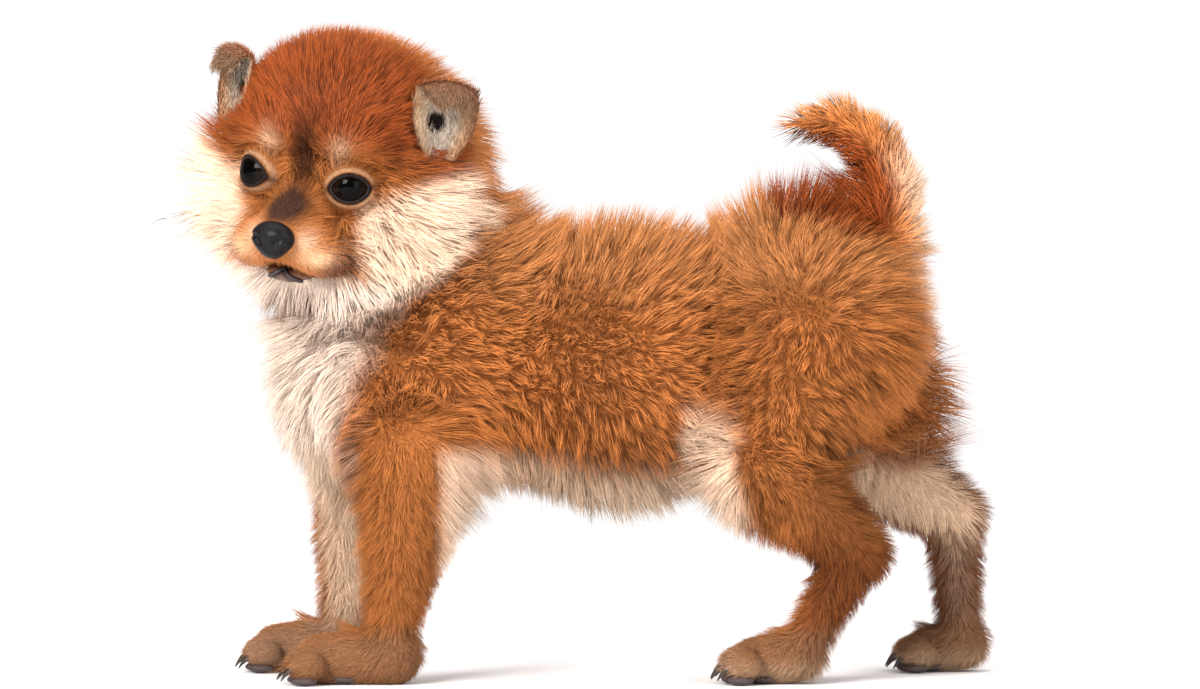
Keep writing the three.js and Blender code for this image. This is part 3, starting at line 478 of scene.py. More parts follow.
# Markings. Colours are given as the eye reads them and turned into linear light.
def tone(red, green, blue):
    """A colour of 0 to 255 in linear light."""
    share = np.array([red, green, blue]) / 255
    return np.where(share <= 0.04045, share / 12.92, ((share + 0.055) / 1.055) ** 2.4)


RUST = tone(152, 72, 27)
ORANGE = tone(208, 126, 64)
GOLD = tone(228, 160, 100)
SABLE = tone(84, 44, 22)
CREAM = tone(238, 206, 178)
WHITE = tone(238, 216, 198)
BEIGE = tone(236, 200, 162)
GREY = tone(196, 178, 160)
SMUDGE = tone(66, 46, 40)
LIP = tone(84, 62, 60)
TAN = tone(150, 106, 74)
# a cream for the chest, a little darker than the cheeks' as painted shade under the head
BREAST = tone(224, 202, 184)


def spot(p, centre, radii):
    """1 at the centre, falling away as exp(-d^2), with d in units of the radii."""
    return np.exp(-(((p - np.array(centre)) / np.array(radii)) ** 2).sum(-1))


def lip_height(share):
    """Height of the line of the mouth from its middle, 0, to a corner, 1: a droop of half a sine."""
    return -42.5 + 5.5 * share - 7.0 * np.sin(np.minimum(share, 1.0) * math.pi)


def head_markings(local, p):
    """Colours of the head: rust crown, dark stripe, pale brows, cream cheeks, grey bridge and lips."""
    u, f, w = local.T
    a = np.abs(u)
    stir = drift(p, 9.0, 5) * 3.0
    colour = mix(RUST, ORANGE, ease(22, -6, w + 0.25 * a + stir))
    colour = mix(colour, RUST * 0.8, 0.5 * ease(16, 0, a) * ease(0, 14, w) * ease(10, 30, f))
    place = np.stack([a, f, w], 1)
    # cheeks, jaw and bib
    line = -9 + 0.5 * (a - 35)
    cheek = ease(line + 4, line - 6, w + 0.6 * stir) * ease(22, 28, a - 0.25 * np.maximum(-w - 26, 0))
    colour = mix(colour, CREAM, cheek)
    colour = mix(colour, WHITE, ease(-42, -50, w + 0.5 * stir))
    # orange under the inner half of each eye, and beige beside the nose
    colour = mix(colour, ORANGE * 0.8, 0.6 * spot(place, (17, 40, -20), (7, 12, 8)))
    colour = mix(colour, CREAM, 0.6 * spot(place, (12, 51, -28.5), (4, 9, 5)))
    colour = mix(colour, BEIGE, 0.75 * spot(place, (17, 46, -36), (9, 10, 4.5)))
    # dark stripe between the eyes, and the grey bridge above the nose
    stripe = ease(8.5, 2, a + 0.5 * stir) * ease(-14, -4, w) * ease(26, 6, w) * ease(20, 30, f)
    colour = mix(colour, SABLE * 0.8, 0.95 * stripe)
    bridge = spot(local, (-1.5, 47, -15.5), (13, 18, 9.5))
    colour = mix(colour, SMUDGE * 0.75, 0.95 * ease(0.1, 0.75, bridge))
    # pale brows over the inner half of each eye
    colour = mix(colour, BEIGE, 0.65 * spot(place, (15.5, 38, 5.5), (4.6, 12, 5.5)))
    # lips and chin
    front = ease(22, 36, f)
    lip = spot((w - lip_height(a / 24))[:, None], -1.2, 4.0) * ease(31, 25, a) * front
    colour = mix(colour, LIP, 0.9 * lip)
    colour = mix(colour, GREY * 0.7, 0.5 * spot(place, (0, 44, -50), (9, 12, 2.5)))
    # dark line out of the outer corner of each eye, pale hair round the lids
    for eye in EYES:
        rim, depth = almond(eye, p)
        at = (p - eye["centre"]) @ eye["axes"].T
        front = ease(0, 3, depth)
        colour = mix(colour, ORANGE * 0.5, 0.65 * front * ease(5.5, 3, rim))
        colour = mix(colour, BEIGE, 0.35 * front * ease(2.0, 1.4, rim) * ease(0.6, 1.0, rim))
        corner = spot(at[:, :2], (11.5, 0.3), (4.5, 1.2)) * front
        colour = mix(colour, SABLE * 0.5, 0.8 * corner)
        inner = spot(at[:, :2], (-9, -1.0), (2.6, 1.6)) * front
        colour = mix(colour, SABLE * 0.5, 0.7 * inner)
        near = ease(10.9, 10.2, np.linalg.norm(at, axis=1))
        colour = mix(colour, SMUDGE * 0.3, front * near * ease(0.8, 0.4, rim))
    return colour


SHADED_CLEFTS = [  # centre and radii of the clefts darkened as painted shade, behind the thighs and at the near shoulder
    ((104, -52, 112), (12, 14, 5)),
    ((104, -44, 72), (10, 14, 7)),
    ((94, -52, 96), (10, 12, 5)),
    ((138, 30, 104), (9, 16, 9)),
    ((146, 28, 83), (9, 16, 7)),
    ((-72, -50, 132), (16, 10, 6)),
]


def body_markings(p):
    """Colours of neck, trunk, legs and tail: orange above, cream on chest, belly and inner legs."""
    x, y, z = p.T
    stir = drift(p, 14.0, 8) * 6.0
    colour = mix(ORANGE, ORANGE * 0.86, ease(-0.3, 0.6, drift(p, 22.0, 9)))
    colour = mix(colour, RUST * 0.95, 0.25 * ease(150, 185, z) * ease(40, -60, x))
    colour = mix(colour, GOLD, 0.4 * ease(138, 168, z + stir) * ease(-80, -40, x))
    # chest, in that darker cream: partly its own colour and partly painted shade under the head
    border = -88 - 0.26 * (139 - z)
    chest = ease(border + 7, border - 9, x + stir) * ease(60, 80, z) * ease(176, 158, z)
    colour = mix(colour, BREAST, chest)
    # belly and the insides of the legs
    belly = ease(78, 68, z + 0.5 * stir + 4 * ease(30, 50, np.abs(y)))
    colour = mix(colour, CREAM, belly * ease(-66, -54, x) * ease(60, 44, x))
    inner = ease(33, 22, np.abs(y)) * ease(96, 80, z + stir)
    colour = mix(colour, mix(BEIGE, GREY, np.full(len(p), 0.5)), 0.85 * inner)
    outer = ease(70, 84, x) * ease(12, 26, np.abs(y))
    colour = mix(colour, RUST, 0.5 * ease(62, 40, z + stir) * outer)
    # back of each foreleg and front of each thigh
    for side, lead in ((-1, 0), (1, 22)):
        own = ease(4, 14, side * y)
        rear = ease(-64 - lead, -56 - lead, x + 0.5 * stir) * ease(-30, -44, x)
        colour = mix(colour, CREAM, 0.9 * own * rear * ease(96, 84, z) * ease(28, 44, z))
    for side, front, low in ((-1, 50, 52), (1, 82, 58)):
        own = ease(6, 16, side * y)
        edge = front + 0.22 * (100 - z)
        along = ease(edge + 6, edge - 5, x + 0.7 * stir) * ease(30, 36, x)
        colour = mix(colour, CREAM, 0.9 * own * along * ease(116, 96, z) * ease(low - 14, low, z))
    # darker lower down on the legs where the colour is not pale, and more so low on the hind legs
    colour = colour * (1 - 0.25 * ease(100, 70, z) * ease(0.5, 0.3, colour.mean(1)))[:, None]
    low = ease(104, 84, z + stir) * ease(74, 90, x)
    colour = colour * (1 - 0.35 * low * ease(0.5, 0.25, colour.mean(1)))[:, None]
    # paws
    colour = mix(colour, TAN, 0.85 * ease(26, 14, z + 0.3 * stir))
    colour = mix(colour, BEIGE * 0.8, 0.45 * ease(12, 4, z) * ease(20, 70, x))
    # painted shade in the clefts behind the thighs and at the near shoulder, broken up by noise
    broken = ease(-0.3, 0.5, drift(p, 5.0, 17))
    for centre, radii in SHADED_CLEFTS:
        colour = mix(colour, SABLE * 0.7, 0.75 * spot(p, centre, radii) * broken)
    # rump under the tail
    colour = mix(colour, CREAM, 0.75 * spot(p, (130, -2, 150), (14, 12, 20)))
    return colour


CURL_MIDDLE = np.array([88.0, -3.0, 190.0])  # what the tail curls round


def tail_markings(p):
    """Rust inside the tail's curl, golden tips outside, cream behind and below."""
    x, y, z = p.T
    out = np.linalg.norm((p - CURL_MIDDLE)[:, [0, 2]], axis=1)
    colour = mix(RUST * 1.15, ORANGE * 1.08, ease(24, 34, out))
    colour = mix(colour, GOLD, ease(34, 46, out))
    colour = mix(colour, CREAM, 0.75 * ease(112, 128, x + 0.4 * z - 78) * ease(222, 200, z))
    return colour


RUFF_REACH = 62.0  # from the head's front axis out to the edge of the ruff
TAIL_ROOT = np.array([100.0, 0, 166.0])


def markings(p):
    """Colour of the coat at each point: head, trunk or tail, blended where they meet."""
    local = head_local(p)
    colour = body_markings(p)
    tail = ease(6, 16, (p - TAIL_ROOT) @ unit([0.35, 0, 1])) * ease(60, 70, p[:, 0])
    colour = mix(colour, tail_markings(p), tail)
    stir = drift(p, 6.0, 12) * 3.5
    u, f, w = local.T
    out = np.hypot(u, w + 4) + stir - 5 * ease(20, 50, np.abs(u)) * ease(0, -20, w)
    forward = ease(-16, -2, f + stir + 0.35 * np.maximum(-w, 0))
    head = ease(RUFF_REACH + 4, RUFF_REACH - 3, out) * forward
    colour = mix(colour, head_markings(local, p), head)
    edge = spot((out - RUFF_REACH)[:, None], 3, 6) * ease(2, -14, w) * ease(-24, 0, f)
    return mix(colour, SABLE * 1.3, 0.45 * edge * (0.6 + 0.4 * drift(p, 3.0, 14)))


# Meshes
def mesh_object(name, points, faces, material):
    """One mesh from arrays of points and of faces with three or four corners, in the scene."""
    mesh = bpy.data.meshes.new(name)
    sides = faces.shape[1]
    mesh.vertices.add(len(points))
    mesh.vertices.foreach_set("co", ((points - ORIGIN) * MM).astype(np.float32).ravel())
    mesh.loops.add(faces.size)
    mesh.loops.foreach_set("vertex_index", faces.astype(np.int32).ravel())
    mesh.polygons.add(len(faces))
    mesh.polygons.foreach_set("loop_start", np.arange(0, faces.size, sides, dtype=np.int32))
    mesh.update(calc_edges=True)
    mesh.shade_smooth()
    mesh.materials.append(material)
    thing = bpy.data.objects.new(name, mesh)
    bpy.context.scene.collection.objects.link(thing)
    return thing


def make_piece(name, points, faces, material, slot):
    """A mesh that rides on the body; slot is not used."""
    piece = mesh_object(name, points, faces, material)
    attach(piece, "root")
    return piece


def paint(piece, name, values):
    """Keeps a colour, or one number, for each vertex as an attribute of the mesh."""
    if values.ndim == 2:
        attribute = piece.data.attributes.new(name, "FLOAT_COLOR", "POINT")
        full = np.concatenate([np.clip(values, 0, 1), np.ones((len(values), 1))], axis=1)
        attribute.data.foreach_set("color", full.astype(np.float32).ravel())
    else:
        attribute = piece.data.attributes.new(name, "FLOAT", "POINT")
        attribute.data.foreach_set("value", values.astype(np.float32))


def join_grids(*grids):
    """Several point and face arrays as one."""
    points, faces, start = [], [], 0
    for p, f in grids:
        points.append(p)
        faces.append(f + start)
        start += len(p)
    return np.concatenate(points), np.concatenate(faces)


def halves(quads):
    """Two triangles for each quad."""
    return np.concatenate([quads[:, [0, 1, 2]], quads[:, [0, 2, 3]]])


def grid_starts(rows, columns):
    """Number of the first corner of each quad on a grid of points."""
    row, column = np.meshgrid(np.arange(rows - 1), np.arange(columns - 1), indexing="ij")
    return (row * columns + column).ravel()


def closed_rings(rings, sides):
    """Triangles between rings of as many points each, and from the end rings to the two points that
    come after all rings."""
    ring, spoke = np.meshgrid(np.arange(rings - 1), np.arange(sides), indexing="ij")
    a = (ring * sides + spoke).ravel()
    b = (ring * sides + (spoke + 1) % sides).ravel()
    here = np.arange(sides)
    after = (here + 1) % sides
    end = (rings - 1) * sides
    first, last = np.full(sides, rings * sides), np.full(sides, rings * sides + 1)
    start_cap = np.stack([after, here, first], axis=1)
    end_cap = np.stack([end + here, end + after, last], axis=1)
    return np.concatenate([halves(np.stack([a, b, b + sides, a + sides], axis=1)), start_cap, end_cap])


def tube(path, radius, sides=10, up=(0.03, 0.02, 1.0)):
    """A round profile carried along a path: radius may change along it, and its ends close to a
    point. Each ring is centre + r(cos a . side + sin a . up)."""
    path = np.asarray(path, float)
    radius = np.broadcast_to(radius, len(path))
    ahead = unit(np.gradient(path, axis=0))
    side = unit(np.cross(ahead, np.broadcast_to(up, ahead.shape)))
    rise = np.cross(side, ahead)
    turn = np.arange(sides) / sides * 2 * math.pi
    around = np.cos(turn)[:, None] * side[:, None] + np.sin(turn)[:, None] * rise[:, None]
    rings = path[:, None] + radius[:, None, None] * around
    points = np.concatenate([rings.reshape(-1, 3), path[:1], path[-1:]])
    return points, closed_rings(len(path), sides)


def spheroid(centre, axes, radii, rows=24, columns=32, swell=None):
    """A ball by latitude and longitude: centre + sum of radii . axes . (cos a sin b, sin a sin b,
    cos b), with its poles closed; swell changes the reach with the angle b from the last axis."""
    latitudes = np.linspace(0, math.pi, rows + 1)[1:-1]
    longitudes = np.arange(columns) / columns * 2 * math.pi
    b, a = np.meshgrid(latitudes, longitudes, indexing="ij")
    local = np.stack([np.cos(a) * np.sin(b), np.sin(a) * np.sin(b), np.cos(b)], axis=-1).reshape(-1, 3)
    local = np.concatenate([local, [[0, 0, 1], [0, 0, -1]]])
    angle = np.arccos(np.clip(local[:, 2], -1, 1))
    reach = 1 if swell is None else swell(angle)[:, None]
    points = centre + (local * radii * reach) @ axes
    triangles = closed_rings(rows - 1, columns)
    if np.linalg.det(axes) > 0:
        triangles = triangles[:, ::-1]
    return points, triangles, angle


# Materials
def preset(node, **values):
    """Sets a node's plain inputs; an underscore in a name stands for a space."""
    for name, value in values.items():
        node.inputs[name.replace("_", " ")].default_value = value


def wire(tree, *links):
    """Each link runs from a node's output to another node's input."""
    for source, output, target, entry in links:
        tree.links.new(source.outputs[output], target.inputs[entry])


def new_material(name):
    """A new material, its tree and its shader."""
    material = bpy.data.materials.new(name)
    material.use_nodes = True
    tree = material.node_tree
    return material, tree, tree.nodes["Principled BSDF"]


def grain_group():
    """Breaks a colour up with fine noise and gives a height: colour times a range of the noise."""
    group = bpy.data.node_groups.new("hair_grain", "ShaderNodeTree")
    for name, way, kind in (
        ("Colour", "INPUT", "NodeSocketColor"),
        ("Scale", "INPUT", "NodeSocketFloat"),
        ("Darkest", "INPUT", "NodeSocketFloat"),
        ("Lightest", "INPUT", "NodeSocketFloat"),
        ("Colour", "OUTPUT", "NodeSocketColor"),
        ("Height", "OUTPUT", "NodeSocketFloat"),
    ):
        group.interface.new_socket(name, in_out=way, socket_type=kind)
    nodes = group.nodes
    given, out = nodes.new("NodeGroupInput"), nodes.new("NodeGroupOutput")
    place = nodes.new("ShaderNodeTexCoord")
    noise = nodes.new("ShaderNodeTexNoise")
    preset(noise, Detail=5, Roughness=0.62)
    spread = nodes.new("ShaderNodeMapRange")
    preset(spread, From_Min=0.3, From_Max=0.7)
    scale = nodes.new("ShaderNodeVectorMath")
    scale.operation = "SCALE"
    wire(
        group,
        (place, "Object", noise, "Vector"),
        (given, "Scale", noise, "Scale"),
        (noise, "Fac", spread, "Value"),
        (given, "Darkest", spread, "To Min"),
        (given, "Lightest", spread, "To Max"),
        (given, "Colour", scale, 0),
        (spread, "Result", scale, "Scale"),
        (scale, "Vector", out, "Colour"),
        (noise, "Fac", out, "Height"),
    )
    return group


GRAIN = grain_group()


def grained(name, colour, scale, darkest, lightest, roughness, bump, bump_distance, **gloss):
    """A material whose colour, plain or from the named attribute, is broken up by the grain, with
    its bump; gloss holds further inputs of the shader. Returns the material and its shader."""
    material, tree, shader = new_material(name)
    grain = tree.nodes.new("ShaderNodeGroup")
    grain.node_tree = GRAIN
    preset(grain, Scale=scale, Darkest=darkest, Lightest=lightest)
    if isinstance(colour, str):
        source = tree.nodes.new("ShaderNodeAttribute")
        source.attribute_name = colour
        wire(tree, (source, "Color", grain, "Colour"))
    else:
        preset(grain, Colour=(*colour, 1))
    height = tree.nodes.new("ShaderNodeBump")
    preset(height, Strength=bump, Distance=bump_distance)
    wire(
        tree,
        (grain, "Colour", shader, "Base Color"),
        (grain, "Height", height, "Height"),
        (height, "Normal", shader, "Normal"),
    )
    preset(shader, Roughness=roughness, **gloss)
    return material, shader


def fur_material():
    """Tufts: their colours, with painted shade at the roots and between clumps, and fine streaks,
    nearly dull.
    """
    return grained("puppy_fur", "coat", 900, 0.82, 1.16, 0.62, 0.25, 0.0004, Specular_IOR_Level=0.12)[0]


def skin_material():
    """Skin and undercoat between the tufts: the coat's markings, darkened as painted shade deep in the
    coat, with a close nap.
    """
    return grained("undercoat", "coat", 700, 0.7, 1.15, 0.85, 0.6, 0.0012, Specular_IOR_Level=0.1)[0]


def nose_material():
    """Black nose leather: small pebbles from cells, a moist gloss."""
    material, shader = grained(
        "nose_leather", (0.006, 0.0055, 0.006), 260, 0.5, 2.0, 0.4, 0.2, 0.0003,
        Specular_IOR_Level=0.06, Coat_Weight=0.08, Coat_Roughness=0.2,
    )
    tree = material.node_tree
    place = tree.nodes.new("ShaderNodeTexCoord")
    cells = tree.nodes.new("ShaderNodeTexVoronoi")
    preset(cells, Scale=1250)
    bump = tree.nodes.new("ShaderNodeBump")
    preset(bump, Strength=0.75, Distance=0.00035)
    bump.invert = True
    wire(
        tree,
        (place, "Object", cells, "Vector"),
        (cells, "Distance", bump, "Height"),
        (bump, "Normal", shader, "Normal"),
    )
    return material


IRIS = [  # quarter turns from the look, and colour there
    (0.30, (0.0015, 0.0012, 0.0012, 1)),
    (0.34, (0.008, 0.004, 0.0028, 1)),
    (0.6, (0.012, 0.006, 0.0035, 1)),
    (0.72, (0.004, 0.003, 0.003, 1)),
    (0.8, (0.012, 0.009, 0.009, 1)),
]


def eye_material():
    """Eye: black pupil, streaked dark brown iris and a darker rim by the angle from its look, under
    a wet clear coat."""
    material, tree, shader = new_material("eye_wet")
    turn = tree.nodes.new("ShaderNodeAttribute")
    turn.attribute_name = "from_look"
    ramp = tree.nodes.new("ShaderNodeValToRGB")
    stops = ramp.color_ramp.elements
    for n, (position, colour) in enumerate(IRIS):
        stop = stops[n] if n < len(stops) else stops.new(position)
        stop.position = position
        stop.color = colour
    place = tree.nodes.new("ShaderNodeTexCoord")
    noise = tree.nodes.new("ShaderNodeTexNoise")
    preset(noise, Scale=600)
    blend = tree.nodes.new("ShaderNodeMix")
    blend.data_type = "RGBA"
    blend.blend_type = "MULTIPLY"
    preset(blend, Factor=0.6)
    wire(
        tree,
        (turn, "Fac", ramp, "Fac"),
        (place, "Object", noise, "Vector"),
        (ramp, "Color", blend, "A"),
        (noise, "Color", blend, "B"),
        (blend, "Result", shader, "Base Color"),
    )
    preset(shader, Roughness=0.2, Specular_IOR_Level=0.0, Coat_Weight=0.12, Coat_Roughness=0.02)
    return material


# Skin
MOUTH_TURN = 1.25  # radians from the middle of the mouth to a corner


def mouth_path():
    """The line between the lips: round the muzzle from corner to corner, cast onto the skin."""
    turn = np.linspace(-MOUTH_TURN, MOUTH_TURN, 41)
    share = np.abs(turn) / MOUTH_TURN
    height = lip_height(share)
    start = head_point(np.stack([45 * np.sin(turn), 25 + 45 * np.cos(turn), height], axis=1))
    return cast(start, -np.stack([np.sin(turn), np.cos(turn), 0 * turn], axis=1) @ HEAD)


def groove_path():
    """The groove from the nose down to the lips."""
    height = np.linspace(-34, -42.5, 8)
    start = head_point(np.stack([0 * height, 75 + 0 * height, height], axis=1))
    return cast(start, np.repeat([-HEAD[1]], len(height), axis=0))


MOUTH = mouth_path()
GROOVE = groove_path()


def furrow(path, radius):
    """A hollow of that radius along a path."""
    low, high = path.min(0) - radius - 3, path.max(0) + radius + 3
    return low, high, lambda p: polyline_distance(p, path) - radius, 0.9, False


def eye_hollow(eye):
    """The almond between the lids, from a little in front of the ball's middle outwards."""
    def hollow(p):
        rim, depth = almond(eye, p)
        return np.maximum(rim, 2.0 - depth)
    return eye["centre"] - 16, eye["centre"] + 16, hollow, 0.5, False


def lid_ball(eye):
    """Both lids: a thin ball of flesh over the eye."""
    def flesh(p):
        return np.linalg.norm(p - eye["centre"], axis=-1) - (EYE_BALL + LID)
    return eye["centre"] - 18, eye["centre"] + 18, flesh, 2.0, True


def eye_bowl(eye):
    """The flesh in front of the lids' ball, inside an oval cone from the eye's middle."""
    def bowl(p):
        local = (p - eye["centre"]) @ eye["axes"].T
        reach = np.linalg.norm(local, axis=-1)
        across = local[..., 0] / (OPENING[0] + 2.4)
        rise = local[..., 1] / (OPENING[1] + 2.8)
        cone = 6 * (np.hypot(across, rise) - np.clip(reach, 6, 18) / EYE_BALL)
        return np.maximum(np.maximum(EYE_BALL + LID - 0.1 - reach, cone), 2.0 - local[..., 2])
    return eye["centre"] - 18, eye["centre"] + 18, bowl, 3.0, False


def ear_hollow(side):
    """The mouth of the ear canal."""
    place = (42 * side, 9, 18)
    centre = head_point(place)
    pit = ball(place, (6, 6, 7), "bare", 1, FROM_NOSE, "face", True)["distance"]
    return centre - 10, centre + 10, pit, 1.5, False


CARVED.extend([furrow(MOUTH, 0.9), furrow(GROOVE, 0.75), ear_hollow(-1), ear_hollow(1)])
CARVED.extend([hollow(eye) for hollow in (eye_bowl, lid_ball, eye_hollow) for eye in EYES])


def build_skin():
    """The skin's mesh on a grid that is finest at the eyes and lips, fitted twice onto the field."""
    fine, middle, wide = ((0.72, 1.45, 2.8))
    xs = lines_along(-166, [(-146, wide), (-136, middle), (-74, fine), (-44, middle), (166, wide)])
    ys = lines_along(-80, [(-70, middle), (-38, fine), (-20, middle), (66, wide)])
    zs = lines_along(-3, [(150, wide), (163, middle), (214, fine), (256, middle)])
    values = np.full((len(xs), len(ys), len(zs)), 40.0)
    depths = np.zeros_like(values)
    for form in FORMS:
        margin = 14 + form["blend"]
        cut = tuple(
            slice(*np.searchsorted(line, (form["low"][n] - margin, form["high"][n] + margin)))
            for n, line in enumerate((xs, ys, zs))
        )
        p = np.stack(np.meshgrid(xs[cut[0]], ys[cut[1]], zs[cut[2]], indexing="ij"), axis=-1)
        values[cut], depths[cut] = add_form(form, p, values[cut], depths[cut])
    p = np.stack(np.meshgrid(xs, ys, zs, indexing="ij"), axis=-1)
    values = carve(p, values + depths)
    values[values == 0] = 1e-6
    points, faces = surface_net(values, (xs, ys, zs))
    for _ in range(2):
        slope = slope_of(skin_field, points)
        size = np.maximum((slope ** 2).sum(1), 0.2)
        points = points - slope * np.clip(skin_field(points) / size, -1.2, 1.2)[:, None]
    points[:, 2] = np.maximum(points[:, 2], 0.05)
    return points, faces


def form_shares(p):
    """How much each form counts at each point: exp(-d/4), with d how much farther it is than the
    nearest."""
    reach = np.stack([form["distance"](p) for form in FORMS], axis=1)
    weight = np.exp(-(reach - reach.min(1, keepdims=True)) / 4)
    return weight / weight.sum(1, keepdims=True)


def lie_of(p, normal, shares):
    """The lie of the hair: the forms' own ways blended, spreading from the nose on the head, and laid
    into the skin."""
    from_nose = unit(p - head_point((0, 66, -25)))
    from_nose[:, 2] -= 0.12
    own = np.array([[0, 0, 0] if f["lie"] is FROM_NOSE else unit(f["lie"]) for f in FORMS])
    on_head = np.array([f["lie"] is FROM_NOSE for f in FORMS])
    lie = shares @ own + (shares[:, on_head].sum(1, keepdims=True)) * from_nose
    return unit(lie - normal * (lie * normal).sum(1, keepdims=True))


FRINGES = [  # centre and radii of the places where the fur is longer, and by how much
    ((120, -26, 120), (16, 20, 36), 5),
    ((134, 30, 118), (18, 22, 30), 11),
    ((5, 0, 64), (62, 34, 14), 13),
    ((-54, -34, 76), (13, 16, 18), 7),
    ((-76, 34, 76), (13, 16, 18), 6),
    ((10, 0, 172), (70, 34, 18), 5),
    ((-50, 0, 186), (24, 34, 20), 6),
    ((-110, 0, 250), (40, 40, 26), 2.5),
    ((-152, -5, 196), (18, 34, 40), 7),
    ((80, -6, 221), (16, 16, 14), 3),
    ((112, -10, 205), (30, 22, 30), 2),
    ((66, 0, 186), (44, 30, 16), 6),
    ((52, -34, 78), (14, 16, 22), 3),
]


SHORT = ("feet", "foreleg", "hindleg", "face")  # pieces whose hair is straight needles
LARGEST_PIECE = 196000  # triangles in one piece of coat

# A tuft has two rings of three corners, two across it and one over it, and a tip. A needle has the
# first ring and the tip.
TAPER = (1.0, 0.85)  # each ring's share of the tuft's width
SEGMENTS = len(TAPER)
TUFT = list(range(7))
TUFT_FACES = np.array([
    (0, 1, 4), (0, 4, 3), (1, 2, 5), (1, 5, 4), (2, 0, 3), (2, 3, 5),
    (3, 4, 6), (4, 5, 6), (5, 3, 6), (0, 2, 1),
])
NEEDLE = [0, 1, 2, 6]
NEEDLE_FACES = np.array([(0, 1, 3), (1, 2, 3), (2, 0, 3), (0, 2, 1)])
# Where a tuft's corners lie in the OFBake map, from the tuft's own place
PATCH = 0.0015 * np.array([(-1, -1), (1, -1), (0, -1), (-1, 0), (1, 0), (0, 0), (0, 1)])


def areas(points, triangles):
    """Half the length of the cross product of two sides, for each triangle."""
    a, b, c = (points[triangles[:, n]] for n in range(3))
    return np.linalg.norm(np.cross(b - a, c - a), axis=1) / 2


def scatter(mass, count, rng):
    """Even random places on triangles by their running mass: the triangle of each, and how much its
    three corners count there."""
    pick = np.searchsorted(mass, (np.arange(count) + rng.random(count)) / count * mass[-1])
    a, b = rng.random((2, count))
    over = a + b > 1
    a[over], b[over] = 1 - a[over], 1 - b[over]
    return np.minimum(pick, len(mass) - 1), np.stack([1 - a - b, a, b], axis=1)


def between(values, corners, weights):
    """Values at the scattered places, from those at their triangles' corners."""
    if values.ndim > 1:
        weights = weights[..., None]
    return (values[corners] * weights).sum(1)


def rings_of(spine, normal, widths):
    """Corners of tufts with the given width at each ring of their spines, and each corner's way out,
    which leans towards the skin's normal so that the coat looks soft."""
    rings, facing = [], []
    for n, wide in enumerate(widths):
        ahead = unit(spine[n + 1] - spine[n])
        across = unit(np.cross(ahead, normal))
        over = np.cross(across, ahead)
        half = np.asarray(wide)[..., None] / 2
        ring = [spine[n] + half * across, spine[n] - half * across, spine[n] + 0.9 * half * over]
        rings.append(np.stack(ring, axis=1))
        facing.append(np.stack([across, -across, over], axis=1) * 0.55 + normal[:, None])
    facing.append((normal + 0.3 * unit(spine[-1] - spine[-2]))[:, None])
    tufts = np.concatenate([*rings, spine[-1][:, None]], axis=1)
    return tufts, unit(np.concatenate(facing, axis=1))


def plant(name, tufts, colour, place, kept=TUFT, shape=TUFT_FACES):
    """One coat piece from the kept corners of each tuft, with its colours and its OFBake map, where
    each tuft is a patch 0.003 across at its place."""
    starts = np.arange(len(tufts))[:, None, None] * len(kept)
    points, faces = tufts[:, kept].reshape(-1, 3), (starts + shape).reshape(-1, 3)
    piece = make_piece(name, points, faces, FUR_LOOK, "coat")
    paint(piece, "coat", colour[:, kept].reshape(-1, 3))
    uv = (np.clip(place, 0.002, 0.998)[:, None] + PATCH[kept]).reshape(-1, 2)
    layer = piece.data.uv_layers.new(name="OFBake")
    loops = np.empty(len(piece.data.loops), np.int32)
    piece.data.loops.foreach_get("vertex_index", loops)
    layer.data.foreach_set("uv", uv[loops].astype(np.float32).ravel())
    return piece


def map_place(name, root):
    """Place of each root in the OFBake map: the skin unrolled round the head's middle, or round the
    trunk's, a leg's or the tail's axis."""
    if name in ("face", "crown", "ruff"):
        u, f, w = unit(head_local(root) - [0, 0, -10]).T
        across, along = np.arctan2(u, f) / (2 * math.pi), np.arcsin(np.clip(w, -1, 1)) / math.pi
        return np.stack([0.5 + across, 0.5 + along], axis=1)
    if name in ("foreleg", "hindleg", "feet", "thigh", "shoulder"):
        strip = (root[:, 1] > 0) + 2 * (root[:, 0] > 10)
        centre_x = np.where(root[:, 0] > 10, 100.0, -88.0)
        around = np.arctan2(root[:, 0] - centre_x, np.abs(root[:, 1]) - 33)
        across = (strip + 0.5 + 0.94 * around / (2 * math.pi)) / 4
        return np.stack([across, root[:, 2] / 190], axis=1)
    if name == "tail":
        around = np.arctan2(root[:, 1] + 3, np.hypot(root[:, 0] - 88, root[:, 2] - 192) - 28)
        along = np.arctan2(root[:, 2] - 192, root[:, 0] - 88)
        return np.stack([0.5 + around / (2 * math.pi), 0.5 + along / (2 * math.pi)], axis=1)
    around = np.arctan2(root[:, 1], root[:, 2] - 130)
    return np.stack([0.5 + around / (2 * math.pi), (root[:, 0] + 170) / 340], axis=1)


FUR_KINDS = [form["fur"] for form in FORMS]


def blended(shares, name):
    """A column of the fur table, blended by how much each form counts."""
    return shares @ np.array([FUR[kind][name] for kind in FUR_KINDS])


def growth(middle):
    """Tufts for each square millimetre: none on the eyes, the lips, the nose or the soles."""
    density = blended(form_shares(middle), "density") * 1.0
    for eye in EYES:
        rim, depth = almond(eye, middle)
        reach = np.linalg.norm(middle - eye["centre"], axis=1)
        density = density * np.where((rim < 0.5) & (depth > 0) & (reach < 10.3), 0, 1)
    density = density * ease(1.6, 3.2, polyline_distance(middle, MOUTH))
    nose = (head_local(middle) - [0.5, 56, -29.5]) / [9.5, 8, 7]
    density = density * (np.linalg.norm(nose, axis=1) > 1)
    return density * (middle[:, 2] > 0.8)


def coat_depth(root, normal):
    """How far the coat's tips stand over each root, by steps along its normal, and the fringes."""
    depth = np.maximum(-coat_field(root)[0], 1.8)
    for _ in range(4):
        depth = np.minimum(depth - 0.9 * coat_field(root + depth[:, None] * normal)[0], 21)
    depth = np.maximum(depth, 1.8)
    for centre, radii, extra in FRINGES:
        depth = depth + extra * spot(root, centre, radii)
    return depth


